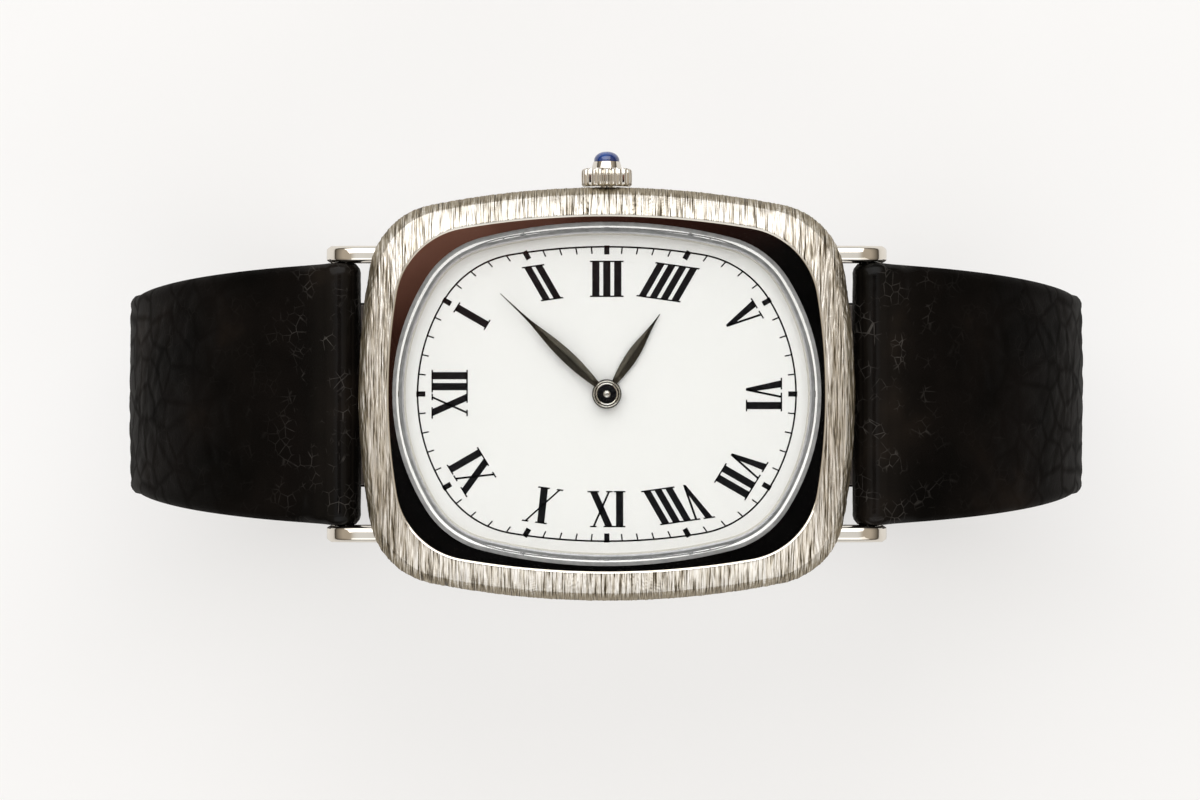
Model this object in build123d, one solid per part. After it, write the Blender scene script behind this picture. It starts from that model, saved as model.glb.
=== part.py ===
"""Cushion case wristwatch: hand wound, two hands, on a buckled leather strap.

Lengths are millimetres. The hands turn about the Z axis and the outside of the case back lies at z = 0.
+X points to six o'clock, +Y to three o'clock and the crown, +Z out of the dial.
"""
import os
from math import atan2, cos, degrees, hypot, pi, radians, sin, sqrt

from build123d import *

# Toothed wheels: tooth counts, modules and thicknesses
barrel_teeth = 60
centre_pinion_leaves = 10
barrel_module = 0.11
centre_wheel_teeth = 64
third_pinion_leaves = 8
centre_module = 0.095
third_wheel_teeth = 60
fourth_pinion_leaves = 8
third_module = 0.08
fourth_wheel_teeth = 60
escape_pinion_leaves = 6
fourth_module = 0.075
cannon_leaves = 10
minute_wheel_teeth = 30
minute_pinion_leaves = 8
hour_wheel_teeth = 32
setting_wheel_teeth = 24
motion_module = 0.1
crown_wheel_teeth = 40
ratchet_wheel_teeth = 56
winding_pinion_teeth = 20
sliding_pinion_teeth = 15
winding_module = 0.1
tooth_tip_share = 0.9
tooth_root_share = 1.15
tooth_foot_share = 0.3
tooth_crest_share = 0.11
train_thickness = 0.13
centre_thickness = 0.16
wheel_hole_share = 0.26
wheel_hole_place_share = 0.56
wheel_holes = 5

# Escapement and balance
escape_teeth = 15
escape_radius = 1.5
escape_tooth_depth = 0.32
escape_tooth_width = 0.09
pallet_span = 30
fork_reach = 2.3
fork_width = 0.2
fork_thickness = 0.22
pallet_width = 0.16
pallet_clearance = 0.09
balance_radius = 2.3
balance_rim = 0.26
balance_thickness = 0.2
balance_arm = 0.24
roller_radius = 0.5
impulse_pin_radius = 0.05
impulse_pin_place = 0.38
staff_radius = 0.14
hairspring_turns = 6
hairspring_inner = 0.36
hairspring_outer = 1.5
hairspring_strip = 0.04
hairspring_stud_length = 0.24
hairspring_stud_half_width = 0.08
hairspring_height = 0.12

# Bearings of the train, as directions in degrees from one centre to the next
barrel_bearing = 150
third_bearing = -75
fourth_bearing = 20
escape_bearing = 60
balance_bearing = 75
minute_wheel_bearing = 110

# Arbors, pivots and jewels
arbor_radius = 0.18
pivot_radius = 0.1
running_clearance = 0.02
jewel_radius = 0.5
jewel_thickness = 0.3
mesh_clearance = 0.02

# Heights of the movement, from the case back to the crystal
case_back_thickness = 0.8
bridge_gap = 0.15
bridge_thickness = 0.6
train_space = 1.25
plate_thickness = 0.6
winding_wheel_thickness = 0.16
winding_wheel_gap = 0.07
centre_wheel_height = 0.33
fourth_wheel_height = 0.57
barrel_height = 0.57
barrel_gap = 0.08
third_wheel_gap = 0.18
balance_height = 0.3
hairspring_gap = 0.07
motion_gap = 0.05
motion_space = 0.5
motion_thickness = 0.1
dial_thickness = 0.35
hand_thickness = 0.15
hand_gap = 0.2
crystal_gap = 0.2
crystal_thickness = 1.1

# Barrel
barrel_wall = 0.2
barrel_floor = 0.1
barrel_arbor_radius = 0.7
barrel_neck_radius = 0.42
barrel_pivot_radius = 0.3
barrel_tooth_height = 0.19
mainspring_turns = 7
mainspring_strip = 0.08
mainspring_clearance = 0.06

# Main plate, bridges and their screws
plate_rim = 0.55
post_radius = 0.7
post_inset = 1.0
bridge_slit = 0.15
bridge_line_rise = 0.3
bridge_line_drop = 0.85
bridge_side = 2.4
balance_room = 0.3
cock_half_width = 0.9
pallet_bridge_width = 0.9
pallet_bridge_reach = 2.1
screw_head_radius = 0.5
screw_head_height = 0.2
screw_shank_radius = 0.25
screw_clearance = 0.01
screw_slot = 0.12
barrel_low_post_bearing = 165
barrel_high_post_bearing = 103
train_low_post_bearing = 260
train_side_post_bearing = -15
cock_post_bearing = 62
clamp_screw_place = 0.7
clamp_half_width = 0.7
clamp_grip = 0.7
clamp_end = 0.7
clamp_thickness = 0.2

# Keyless works
stem_radius = 0.3
stem_groove_radius = 0.18
stem_groove_width = 0.34
stem_height = 1.2
stem_tail = 0.75
winding_pinion_length = 0.6
winding_engagement = 0.08
setting_engagement = 0.06
pinion_groove_radius = 0.45
pinion_groove_width = 0.28
crown_travel = 0.5
window_half_width = 1.0
lever_arm = 1.9
yoke_arm = 2.4
lever_width = 0.5
lever_pin_radius = 0.12
yoke_pin_radius = 0.08
lever_pivot_radius = 0.18
lever_thickness = 0.15
lever_groove_place = 0.85
boss_length = 0.85
boss_half_width = 1.2
click_length = 1.2
click_boss_radius = 0.35
click_place_gap = 0.7
click_arm_half_width = 0.09
click_bearing = 210
crown_wheel_stud_radius = 0.36
lever_slot_half_width = 0.25
window_clearance = 0.2

# Case: widths from the movement outwards, then the outline radii
spacer_side = 0.64
spacer_end = 3.37
collar_width = 0.73
collar_inset = 0.12
polished_width_end = 0.36
polished_width_side = 0.47
texture_width_end = 1.96
texture_width_side = 1.88
crystal_end_radius = 14.0
crystal_side_radius = 32.5
crystal_corner_radius = 6.0
ring_end_radius = 39.4
ring_side_radius = 55.0
ring_corner_radius = 5.25
case_end_radius = 46.0
case_side_radius = 57.5
case_corner_radius = 5.0
fit_clearance = 0.02
tight_clearance = 0.025
loose_clearance = 0.04
part_clearance = 0.05
wide_clearance = 0.1

# Case middle and back
middle_bottom = 0.35
middle_top = 3.3
middle_inset = 0.45
middle_taper = 0.9
middle_waist = 1.35
back_overlap = 0.35
back_clearance = 0.03
spigot_height = 0.5
spigot_wall = 0.57
back_edge = 0.25

# Bezel, crystal, gasket and flange
bezel_wall_height = 0.65
bezel_shoulder_inset = 0.55
bezel_shoulder_height = 1.75
bezel_height = 2.45
polished_step = 0.12
polished_lip = 0.1
gasket_thickness = 0.15
gasket_inset = 0.1
gasket_width = 0.5
ledge_height = 0.3
ledge_inset = 0.7
flange_slope = 0.1
crystal_bevel = 0.45

# Dial and hands
dial_inset = 0.25
dial_hole_radius = 0.78
dial_foot_radius = 0.3
dial_foot_place = 7.0
dial_foot_bearings = (205, 335)
cannon_radius = 0.46
hour_tube_wall = 0.18
minute_hand_length = 9.53
minute_hub_radius = 0.86
minute_hand_width = 0.82
hour_hand_length = 6.26
hour_hub_radius = 0.95
hour_hand_width = 0.8
minute_hand_clock_angle = 43.3
hour_hand_clock_angle = 123.6
hand_station_shares = (0.0, 0.22, 0.4, 0.55, 0.72, 0.84, 1.0)
hand_width_shares = (0.45, 0.78, 1.0, 0.9, 0.4, 0.14, 0.07)

# Crown
crown_radius = 1.665
crown_length = 1.2
crown_gap = 0.06
crown_flutes = 22
flute_radius = 0.2
flute_depth = 0.11
crown_collar_radius = 0.85
crown_collar_length = 0.58
cabochon_radius = 0.8
cabochon_height = 0.65
cabochon_seat = 0.18
cabochon_dome_share = 0.5
cabochon_middle_angle = 45
tube_radius = 0.52
tube_reach = 0.6
crown_bore_depth = 0.8

# Lugs and spring bars
lug_gap = 17.12
lug_width = 1.14
spring_bar_reach = 1.38
spring_bar_height = 1.7
lug_tip = 0.85
lug_root = 3.2
lug_bottom = 0.6
lug_shoulder = 1.0
lug_top_inset = 0.15
lug_tip_undercut = 0.28
lug_tip_rise = 0.14
lug_tip_drop = 0.21
lug_crest = 0.28
bar_tube_radius = 0.75
bar_tube_inset = 0.9
bar_bore_depth = 3.0
bar_tip_radius = 0.38
bar_foot_radius = 0.5
bar_foot_length = 2.0
bar_tip_entry = 0.74
bar_travel = 0.8

# Strap loop, seen from the side, and its width
strap_thickness = 1.9
lining_thickness = 0.7
strap_clearance = 0.06
roll_radius = 1.45
strap_start_slope = 25
strap_straight = 2.0
loop_half_width = 32.8
loop_low_radius = 17.0
strap_end_width = 13.8
taper_depth = 15.2
strap_depth = 50.0
layer_gap = 0.3
step_turn = 32
tip_turn = 22

# Buckle and keepers
buckle_bar_x = 1.0
buckle_bar_radius = 0.55
bar_hole_clearance = 0.05
tongue_notch = 2.0
tongue_width = 1.5
tongue_thickness = 0.8
tongue_eye_radius = 0.95
slot_width = 1.9
slot_start = 0.35
slot_length = 4.05
frame_side_gap = 0.3
frame_side_width = 1.3
frame_end_radius = 1.1
crossbar_place = 7.6
crossbar_width = 1.8
crossbar_gap = 0.2
crossbar_notch_clearance = 0.1
frame_round = 0.5
keeper_gap = 0.2
keeper_side_gap = 0.3
keeper_thickness = 0.55
keeper_width = 4.0
fixed_keeper_x = -4.0
floating_keeper_x = -10.5
keeper_round = 0.4

overrun = 1.0

# Derived levels of the movement
bridge_bottom = case_back_thickness + bridge_gap
bridge_top = bridge_bottom + bridge_thickness
plate_bottom = bridge_top + train_space
plate_top = plate_bottom + plate_thickness
winding_bottom = bridge_top + winding_wheel_gap
barrel_top = plate_bottom - barrel_gap
barrel_bottom = barrel_top - barrel_height
centre_wheel_bottom = bridge_top + centre_wheel_height
fourth_wheel_bottom = bridge_top + fourth_wheel_height
third_wheel_bottom = plate_bottom - third_wheel_gap - train_thickness
balance_bottom = bridge_top + balance_height
hairspring_bottom = bridge_top + hairspring_gap
motion_bottom = plate_top + motion_gap
dial_bottom = plate_top + motion_space
dial_top = dial_bottom + dial_thickness
hour_hand_bottom = dial_top + hand_gap
minute_hand_bottom = hour_hand_bottom + hand_thickness + hand_gap
crystal_bottom = minute_hand_bottom + hand_thickness + crystal_gap + part_clearance
gasket_bottom = crystal_bottom - gasket_thickness
ledge_bottom = gasket_bottom - ledge_height
stem_z = bridge_top + stem_height


def spacing(leader, follower, module):
    """Distance between the centres of two toothed wheels in mesh."""
    return module * (leader + follower) / 2 + mesh_clearance


def step_from(start, distance, bearing):
    """The point at a distance and a bearing in degrees from a start."""
    return (start[0] + distance * cos(radians(bearing)), start[1] + distance * sin(radians(bearing)))


# Centres of the wheels, each one reached from the wheel that drives it
hand_axis = (0.0, 0.0)
barrel_centre = step_from(
    hand_axis, spacing(barrel_teeth, centre_pinion_leaves, barrel_module), barrel_bearing
)
third_centre = step_from(
    hand_axis, spacing(centre_wheel_teeth, third_pinion_leaves, centre_module), third_bearing
)
fourth_centre = step_from(
    third_centre, spacing(third_wheel_teeth, fourth_pinion_leaves, third_module), fourth_bearing
)
escape_centre = step_from(
    fourth_centre, spacing(fourth_wheel_teeth, escape_pinion_leaves, fourth_module), escape_bearing
)
pallet_centre = step_from(escape_centre, escape_radius / cos(radians(pallet_span)), balance_bearing)
balance_centre = step_from(pallet_centre, fork_reach, balance_bearing)
minute_wheel_centre = step_from(
    hand_axis, spacing(cannon_leaves, minute_wheel_teeth, motion_module), minute_wheel_bearing
)
setting_spacing = spacing(minute_wheel_teeth, setting_wheel_teeth, motion_module)
setting_centre = (0.0, minute_wheel_centre[1] + sqrt(setting_spacing**2 - minute_wheel_centre[0] ** 2))
winding_spacing = spacing(crown_wheel_teeth, ratchet_wheel_teeth, winding_module)
crown_wheel_centre = (0.0, barrel_centre[1] + sqrt(winding_spacing**2 - barrel_centre[0] ** 2))

# The plate ends just outside the balance, and the case is built outwards from the plate
plate_radius = hypot(*balance_centre) + balance_radius + plate_rim
saw_reach = 2 * plate_radius
post_place = plate_radius - post_inset
clamp_place = plate_radius + clamp_screw_place
barrel_pitch_radius = barrel_module * barrel_teeth / 2
drum_radius = barrel_pitch_radius - barrel_module * tooth_root_share - barrel_wall / 2

# Places along the winding stem
winding_pinion_y = crown_wheel_centre[1] + winding_module * crown_wheel_teeth / 2 - winding_engagement
setting_tip = setting_centre[1] + motion_module * (setting_wheel_teeth / 2 + tooth_tip_share)
sliding_pinion_y = setting_tip + crown_travel - setting_engagement
sliding_pinion_length = winding_pinion_y - fit_clearance - sliding_pinion_y
pinion_groove_y = sliding_pinion_y + sliding_pinion_length / 2
lever_groove_y = winding_pinion_y + winding_pinion_length + lever_groove_place - stem_groove_width
stem_start = sliding_pinion_y - stem_tail

# Cushion outlines: half length, half width, end, side and corner radius
crystal_outline = (
    plate_radius + part_clearance + spacer_end + collar_width,
    plate_radius + part_clearance + spacer_side + collar_width,
    crystal_end_radius,
    crystal_side_radius,
    crystal_corner_radius,
)
ring_outline = (
    crystal_outline[0] + polished_width_end,
    crystal_outline[1] + polished_width_side,
    ring_end_radius,
    ring_side_radius,
    ring_corner_radius,
)
case_outline = (
    ring_outline[0] + texture_width_end,
    ring_outline[1] + texture_width_side,
    case_end_radius,
    case_side_radius,
    case_corner_radius,
)
cavity_inset = collar_inset + collar_width
bezel_top = middle_top + bezel_height
spring_bar_x = case_outline[0] + spring_bar_reach
lug_inner_y = lug_gap / 2
strap_half_width = lug_inner_y - strap_clearance
strap_end_half_width = strap_end_width / 2

# Crown places along Y
crown_start = case_outline[1] + crown_gap
crown_end = crown_start + crown_length
collar_end = crown_end + crown_collar_length
tube_end = crown_start + tube_reach

# The strap's side view: the middle line leaves the spring bar, rounds the wrist and runs flat below it
half_strap = strap_thickness / 2
first_x = spring_bar_x + strap_straight * cos(radians(strap_start_slope))
first_z = spring_bar_height - strap_straight * sin(radians(strap_start_slope))
loop_top_radius = (loop_half_width - first_x) / (1 - sin(radians(strap_start_slope)))
loop_side_z = first_z - loop_top_radius * cos(radians(strap_start_slope))
inner_layer_z = loop_side_z - loop_low_radius
layer_pitch = strap_thickness + layer_gap
outer_layer_z = inner_layer_z - layer_pitch
flat_half_length = loop_half_width - loop_low_radius
step_radius = layer_pitch / 2 / (1 - cos(radians(step_turn)))
step_length = 2 * step_radius * sin(radians(step_turn))
step_end_x = buckle_bar_x - frame_side_gap
base_z = outer_layer_z - half_strap - keeper_gap - keeper_thickness
frame_inner_y = strap_end_half_width + frame_side_gap


def cushion(outline, inset=0):
    """A flat cushion face of four long arcs and four corner arcs, moved inwards by the inset."""
    half_x, half_y, end_radius, side_radius, corner_radius = (size - inset for size in outline)
    end_x = half_x - end_radius
    side_y = half_y - side_radius
    reach_end = end_radius - corner_radius
    reach_side = side_radius - corner_radius
    span = hypot(end_x, side_y)
    along = (reach_end**2 - reach_side**2 + span**2) / (2 * span)
    across = sqrt(reach_end**2 - along**2)
    ux, uy = -end_x / span, side_y / span
    corners = [(end_x + ux * along - uy * across * way, uy * along + ux * across * way) for way in (1, -1)]
    cx, cy = max(corners, key=sum)
    end_turn = atan2(cy, cx - end_x)
    side_turn = atan2(cy - side_y, cx)
    middle_turn = (end_turn + side_turn) / 2
    tx, ty = end_x + end_radius * cos(end_turn), end_radius * sin(end_turn)
    sx, sy = side_radius * cos(side_turn), side_y + side_radius * sin(side_turn)
    mx, my = cx + corner_radius * cos(middle_turn), cy + corner_radius * sin(middle_turn)
    edges = [
        ThreePointArc((tx, -ty), (half_x, 0), (tx, ty)),
        ThreePointArc((tx, ty), (mx, my), (sx, sy)),
        ThreePointArc((sx, sy), (0, half_y), (-sx, sy)),
        ThreePointArc((-sx, sy), (-mx, my), (-tx, ty)),
        ThreePointArc((-tx, ty), (-half_x, 0), (-tx, -ty)),
        ThreePointArc((-tx, -ty), (-mx, -my), (-sx, -sy)),
        ThreePointArc((-sx, -sy), (0, -half_y), (sx, -sy)),
        ThreePointArc((sx, -sy), (mx, -my), (tx, -ty)),
    ]
    return Face(Wire(edges))


def slab(face, bottom, top):
    """A flat face raised to a solid between two heights."""
    return Pos(0, 0, bottom) * extrude(face, top - bottom)


def disc(centre, radius, bottom, top):
    """An upright cylinder on a centre, between two heights."""
    base = (Align.CENTER, Align.CENTER, Align.MIN)
    return Pos(centre[0], centre[1], bottom) * Cylinder(radius, top - bottom, align=base)


def rod(radius, start, end, x=0, z=0):
    """A cylinder along Y between two places."""
    base = (Align.CENTER, Align.CENTER, Align.MIN)
    return Pos(x, start, z) * Rot(-90, 0, 0) * Cylinder(radius, end - start, align=base)


def block(x0, x1, y0, y1, z0, z1):
    """A box between two corners."""
    size = (x1 - x0, y1 - y0, z1 - z0)
    return Pos(x0 + size[0] / 2, y0 + size[1] / 2, z0 + size[2] / 2) * Box(*size)


def bar(start, end, half_width, bottom, top):
    """A flat bar with round ends from one centre to another."""
    length = hypot(end[0] - start[0], end[1] - start[1])
    turn = degrees(atan2(end[1] - start[1], end[0] - start[0]))
    beam = Rot(0, 0, turn) * block(0, length, -half_width, half_width, 0, top - bottom)
    ends = disc(start, half_width, bottom, top) + disc(end, half_width, bottom, top)
    return Pos(start[0], start[1], bottom) * beam + ends


def meshing_phase(leader_teeth, leader_phase, follower_teeth, bearing):
    """The phase that puts a follower's gap where the leader's tooth meets it."""
    leader_offset = (bearing - leader_phase) * leader_teeth / 360
    follower_offset = 0.5 - leader_offset
    return bearing + 180 - follower_offset * 360 / follower_teeth


def tip_radius(teeth, module):
    """Outside radius of a toothed wheel."""
    return module * (teeth / 2 + tooth_tip_share)


def toothed(teeth, module, phase, thickness):
    """A toothed disc with straight-sided teeth, lying on the XY plane."""
    tip = tip_radius(teeth, module)
    root = module * (teeth / 2 - tooth_root_share)
    corners = ((root, -tooth_foot_share), (tip, -tooth_crest_share))
    corners += ((tip, tooth_crest_share), (root, tooth_foot_share))
    points = []
    for tooth in range(teeth):
        for radius, turn in corners:
            angle = radians(phase + (tooth + turn) * 360 / teeth)
            points.append((radius * cos(angle), radius * sin(angle)))
    return extrude(make_face(Polyline(*points, close=True)), thickness)


def gear(centre, teeth, module, phase, bottom, thickness):
    """A toothed disc set on its centre."""
    return Pos(centre[0], centre[1], bottom) * toothed(teeth, module, phase, thickness)


def lightened(wheel, centre, radius, bottom, thickness):
    """A wheel with round holes between its arms."""
    for hole in range(wheel_holes):
        place = step_from(centre, radius * wheel_hole_place_share, hole * 360 / wheel_holes)
        hole_radius = radius * wheel_hole_share
        wheel -= disc(place, hole_radius, bottom - overrun, bottom + thickness + overrun)
    return wheel


def spiral(inner, outer, turns, strip, height):
    """A flat coiled strip built of half circles that grow from the inside out."""
    growth = (outer - inner - strip) / (2 * turns)
    edges = {"inner": [], "outer": []}
    for side, offset in (("inner", 0), ("outer", strip)):
        x = -(inner + offset)
        for half in range(2 * turns):
            radius = inner + offset + growth * (half + 0.5)
            way = 1 if half % 2 == 0 else -1
            end = x + way * 2 * radius
            edges[side].append(ThreePointArc((x, 0), ((x + end) / 2, way * radius), (end, 0)))
            x = end
    inner_start, inner_end = edges["inner"][0] @ 0, edges["inner"][-1] @ 1
    outer_start, outer_end = edges["outer"][0] @ 0, edges["outer"][-1] @ 1
    caps = [Line(inner_start, outer_start), Line(inner_end, outer_end)]
    return extrude(Face(Wire(edges["inner"] + edges["outer"] + caps)), height)


# Phases of the wheels, so that every pair is in mesh
centre_pinion_phase = meshing_phase(barrel_teeth, 0, centre_pinion_leaves, barrel_bearing + 180)
third_pinion_phase = meshing_phase(centre_wheel_teeth, 0, third_pinion_leaves, third_bearing)
fourth_pinion_phase = meshing_phase(third_wheel_teeth, 0, fourth_pinion_leaves, fourth_bearing)
escape_pinion_phase = meshing_phase(fourth_wheel_teeth, 0, escape_pinion_leaves, escape_bearing)
minute_wheel_phase = meshing_phase(cannon_leaves, 0, minute_wheel_teeth, minute_wheel_bearing)
hour_wheel_phase = meshing_phase(minute_pinion_leaves, 0, hour_wheel_teeth, minute_wheel_bearing + 180)
setting_bearing = degrees(
    atan2(setting_centre[1] - minute_wheel_centre[1], setting_centre[0] - minute_wheel_centre[0])
)
setting_wheel_phase = meshing_phase(
    minute_wheel_teeth, minute_wheel_phase, setting_wheel_teeth, setting_bearing
)
ratchet_bearing = degrees(
    atan2(barrel_centre[1] - crown_wheel_centre[1], barrel_centre[0] - crown_wheel_centre[0])
)
ratchet_wheel_phase = meshing_phase(crown_wheel_teeth, 0, ratchet_wheel_teeth, ratchet_bearing)


def bezel():
    """Engraved cushion ring: an upright wall, a steep shoulder, a domed top and a polished inner step."""
    wall_top = middle_top + bezel_wall_height
    shoulder = middle_top + bezel_shoulder_height
    body = slab(cushion(case_outline), middle_top, wall_top)
    body += loft([Pos(0, 0, wall_top) * cushion(case_outline),
                  Pos(0, 0, shoulder) * cushion(case_outline, bezel_shoulder_inset)], ruled=True)
    body += loft([Pos(0, 0, shoulder) * cushion(case_outline, bezel_shoulder_inset),
                  Pos(0, 0, bezel_top) * cushion(ring_outline)], ruled=True)
    body -= slab(cushion(ring_outline, polished_lip), bezel_top - polished_step, bezel_top + overrun)
    body -= slab(cushion(crystal_outline, -fit_clearance), gasket_bottom, bezel_top + overrun)
    body -= slab(cushion(crystal_outline, ledge_inset), middle_top - overrun, bezel_top)
    body -= slab(cushion(crystal_outline, collar_inset - fit_clearance), middle_top - overrun, ledge_bottom)
    return body


def crystal():
    """Flat crystal with a bevelled upper edge."""
    top = crystal_bottom + crystal_thickness
    body = slab(cushion(crystal_outline), crystal_bottom, top - crystal_bevel)
    return body + loft([Pos(0, 0, top - crystal_bevel) * cushion(crystal_outline),
                        Pos(0, 0, top) * cushion(crystal_outline, crystal_bevel)], ruled=True)


def crystal_gasket():
    """Thin sealing ring under the crystal's edge."""
    outer = slab(cushion(crystal_outline, gasket_inset), gasket_bottom, crystal_bottom)
    hole = cushion(crystal_outline, gasket_inset + gasket_width)
    return outer - slab(hole, gasket_bottom - overrun, crystal_bottom + overrun)


def dial_flange():
    """Sloped ring between the dial and the bezel's ledge."""
    outer = slab(cushion(crystal_outline, collar_inset + part_clearance), dial_top, ledge_bottom)
    hole = loft([Pos(0, 0, dial_top) * cushion(crystal_outline, ledge_inset + flange_slope),
                 Pos(0, 0, ledge_bottom) * cushion(crystal_outline, ledge_inset)], ruled=True)
    return outer - hole


def dial():
    """Dial plate with a centre hole and two feet that go into the main plate."""
    body = slab(cushion(crystal_outline, dial_inset), dial_bottom, dial_top)
    body -= disc(hand_axis, dial_hole_radius, dial_bottom - overrun, dial_top + overrun)
    for bearing in dial_foot_bearings:
        foot = step_from(hand_axis, dial_foot_place, bearing)
        body += disc(foot, dial_foot_radius, plate_bottom + plate_thickness / 2, dial_bottom)
    return body


def lug_profile():
    """Side view of one lug, from inside the case wall to its tip."""
    root_x = spring_bar_x - lug_root
    tip_x = spring_bar_x + lug_tip
    top = middle_top - lug_top_inset
    lower_tip = (tip_x - lug_tip_undercut, lug_bottom + lug_tip_rise)
    upper_tip = (tip_x, spring_bar_height - lug_tip_drop)
    shoulder = (spring_bar_x - lug_shoulder, top)
    crest = ((shoulder[0] + tip_x) / 2 + lug_crest, (top + upper_tip[1]) / 2 + lug_crest)
    edges = [
        Line((root_x, lug_bottom), lower_tip),
        Line(lower_tip, upper_tip),
        ThreePointArc(upper_tip, crest, shoulder),
        Line(shoulder, (root_x, middle_top)),
        Line((root_x, middle_top), (root_x, lug_bottom)),
    ]
    return Face(Wire(edges))


def case_middle():
    """Case band with its collar, four lugs, the movement cavity and the seat of the case back."""
    waist = middle_bottom + middle_waist
    body = loft([Pos(0, 0, middle_bottom) * cushion(case_outline, middle_inset + middle_taper),
                 Pos(0, 0, waist) * cushion(case_outline, middle_inset)], ruled=True)
    body += slab(cushion(case_outline, middle_inset), waist, middle_top)
    upright = Plane(origin=(0, 0, 0), x_dir=(1, 0, 0), z_dir=(0, -1, 0)) * lug_profile()
    lug = Pos(0, lug_inner_y + lug_width, 0) * extrude(upright, lug_width)
    for lengthwise in (lug, mirror(lug, about=Plane.YZ)):
        body += lengthwise
        body += mirror(lengthwise, about=Plane.XZ)
    body += slab(cushion(crystal_outline, collar_inset), middle_top, dial_bottom)
    body -= slab(cushion(crystal_outline, cavity_inset), case_back_thickness, dial_bottom + overrun)
    body -= slab(
        cushion(crystal_outline, -back_overlap - back_clearance), middle_bottom - overrun, case_back_thickness
    )
    body -= rod(tube_radius + screw_clearance, 0, case_outline[1] + overrun, z=stem_z)
    for end in (spring_bar_x, -spring_bar_x):
        hole_end = lug_inner_y + bar_tip_entry + part_clearance
        body -= rod(bar_tip_radius + part_clearance, -hole_end, hole_end, x=end, z=spring_bar_height)
    return body


def case_back():
    """Snap-on back: a plate with a softened edge and a ring that enters the case."""
    outline = cushion(crystal_outline, -back_overlap)
    body = slab(outline, back_edge, case_back_thickness)
    body += loft([Pos(0, 0, 0) * cushion(crystal_outline, back_edge - back_overlap),
                  Pos(0, 0, back_edge) * outline], ruled=True)
    ring_top = case_back_thickness + spigot_height
    ring = slab(cushion(crystal_outline, cavity_inset + back_clearance), case_back_thickness, ring_top)
    inner = cushion(crystal_outline, cavity_inset + back_clearance + spigot_wall)
    return body + (ring - slab(inner, case_back_thickness - overrun, ring_top + overrun))


def clamp_places():
    """The two ends of the movement where clamps hold it."""
    return ((clamp_place, 0.0), (-clamp_place, 0.0))


def movement_ring():
    """Spacer between the round movement and the cushion cavity, with clamp recesses and a stem hole."""
    bottom = case_back_thickness + spigot_height + part_clearance
    body = slab(cushion(crystal_outline, cavity_inset + part_clearance), bottom, dial_bottom - fit_clearance)
    body -= disc(hand_axis, plate_radius + part_clearance, bottom - overrun, dial_bottom + overrun)
    body -= rod(tube_radius + part_clearance, 0, case_outline[1], z=stem_z)
    half = clamp_half_width + part_clearance
    pocket = block(plate_radius - clamp_grip, clamp_place + clamp_end + part_clearance, -half, half,
                   bottom - overrun, plate_bottom)
    body -= pocket
    body -= mirror(pocket, about=Plane.YZ)
    for place in clamp_places():
        body -= disc(place, screw_shank_radius + screw_clearance, plate_bottom - overrun, plate_top)
    return body


def case_clamps():
    """Two small plates that hold the movement's edge to the spacer."""
    bottom = plate_bottom - clamp_thickness
    half = clamp_half_width
    clamp = block(plate_radius - clamp_grip, clamp_place + clamp_end, -half, half, bottom, plate_bottom)
    hole = screw_shank_radius + screw_clearance
    clamp -= disc((clamp_place, 0.0), hole, bottom - overrun, plate_bottom + overrun)
    return [clamp, mirror(clamp, about=Plane.YZ)]


def post(bearing):
    """Centre of the bridge post that lies in this direction."""
    return step_from(hand_axis, post_place, bearing)


def post_bearings():
    """Directions of all bridge posts."""
    return (barrel_low_post_bearing, barrel_high_post_bearing, train_low_post_bearing, train_side_post_bearing,
            cock_post_bearing)


def jewel_places():
    """Every jewel as a centre, a bottom height and the radius of its hole."""
    plate_level = plate_top - jewel_thickness
    bridge_level = bridge_bottom
    places = []
    for centre in (third_centre, fourth_centre, escape_centre):
        places.append((centre, bridge_level))
        places.append((centre, plate_level))
    places.append((pallet_centre, plate_level))
    places.append((balance_centre, bridge_level))
    places.append((balance_centre, plate_level))
    return places


def jewels():
    """Rings of ruby in the plate and the bridges."""
    rings = []
    for centre, bottom in jewel_places():
        top = bottom + jewel_thickness
        ring = disc(centre, jewel_radius, bottom, top)
        ring -= disc(centre, pivot_radius + running_clearance, bottom - overrun, top + overrun)
        rings.append(ring)
    return rings


def with_jewel_seats(body, bottom, top):
    """Cuts the jewel seats and pivot passages that lie between two heights."""
    for centre, low in jewel_places():
        if bottom <= low < top:
            body -= disc(centre, jewel_radius, low, low + jewel_thickness)
            body -= disc(centre, arbor_radius + part_clearance, bottom - overrun, top + overrun)
    return body


def bridge_screw_hole(centre, bottom):
    """Space for a screw head and its shank through a bridge and into the plate."""
    head = disc(centre, screw_head_radius + part_clearance, bottom - overrun, bottom + screw_head_height)
    return head + disc(centre, screw_shank_radius + screw_clearance, bottom, plate_top - part_clearance)


def screw(centre, bottom, length):
    """A slotted screw that enters upwards."""
    body = disc(centre, screw_head_radius, bottom, bottom + screw_head_height)
    body += disc(centre, screw_shank_radius, bottom, bottom + length)
    slot = screw_slot / 2
    x, y = centre
    return body - block(
        x - screw_head_radius, x + screw_head_radius, y - slot, y + slot, bottom - overrun, bottom + screw_slot
    )


def movement_screws():
    """Screws of the bridges and of the case clamps."""
    length = plate_top - wide_clearance - bridge_bottom
    screws = [screw(post(bearing), bridge_bottom, length) for bearing in post_bearings()]
    clamp_bottom = plate_bottom - clamp_thickness - screw_head_height
    clamp_length = plate_top - part_clearance - clamp_bottom
    screws += [screw(place, clamp_bottom, clamp_length) for place in clamp_places()]
    return screws


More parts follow.
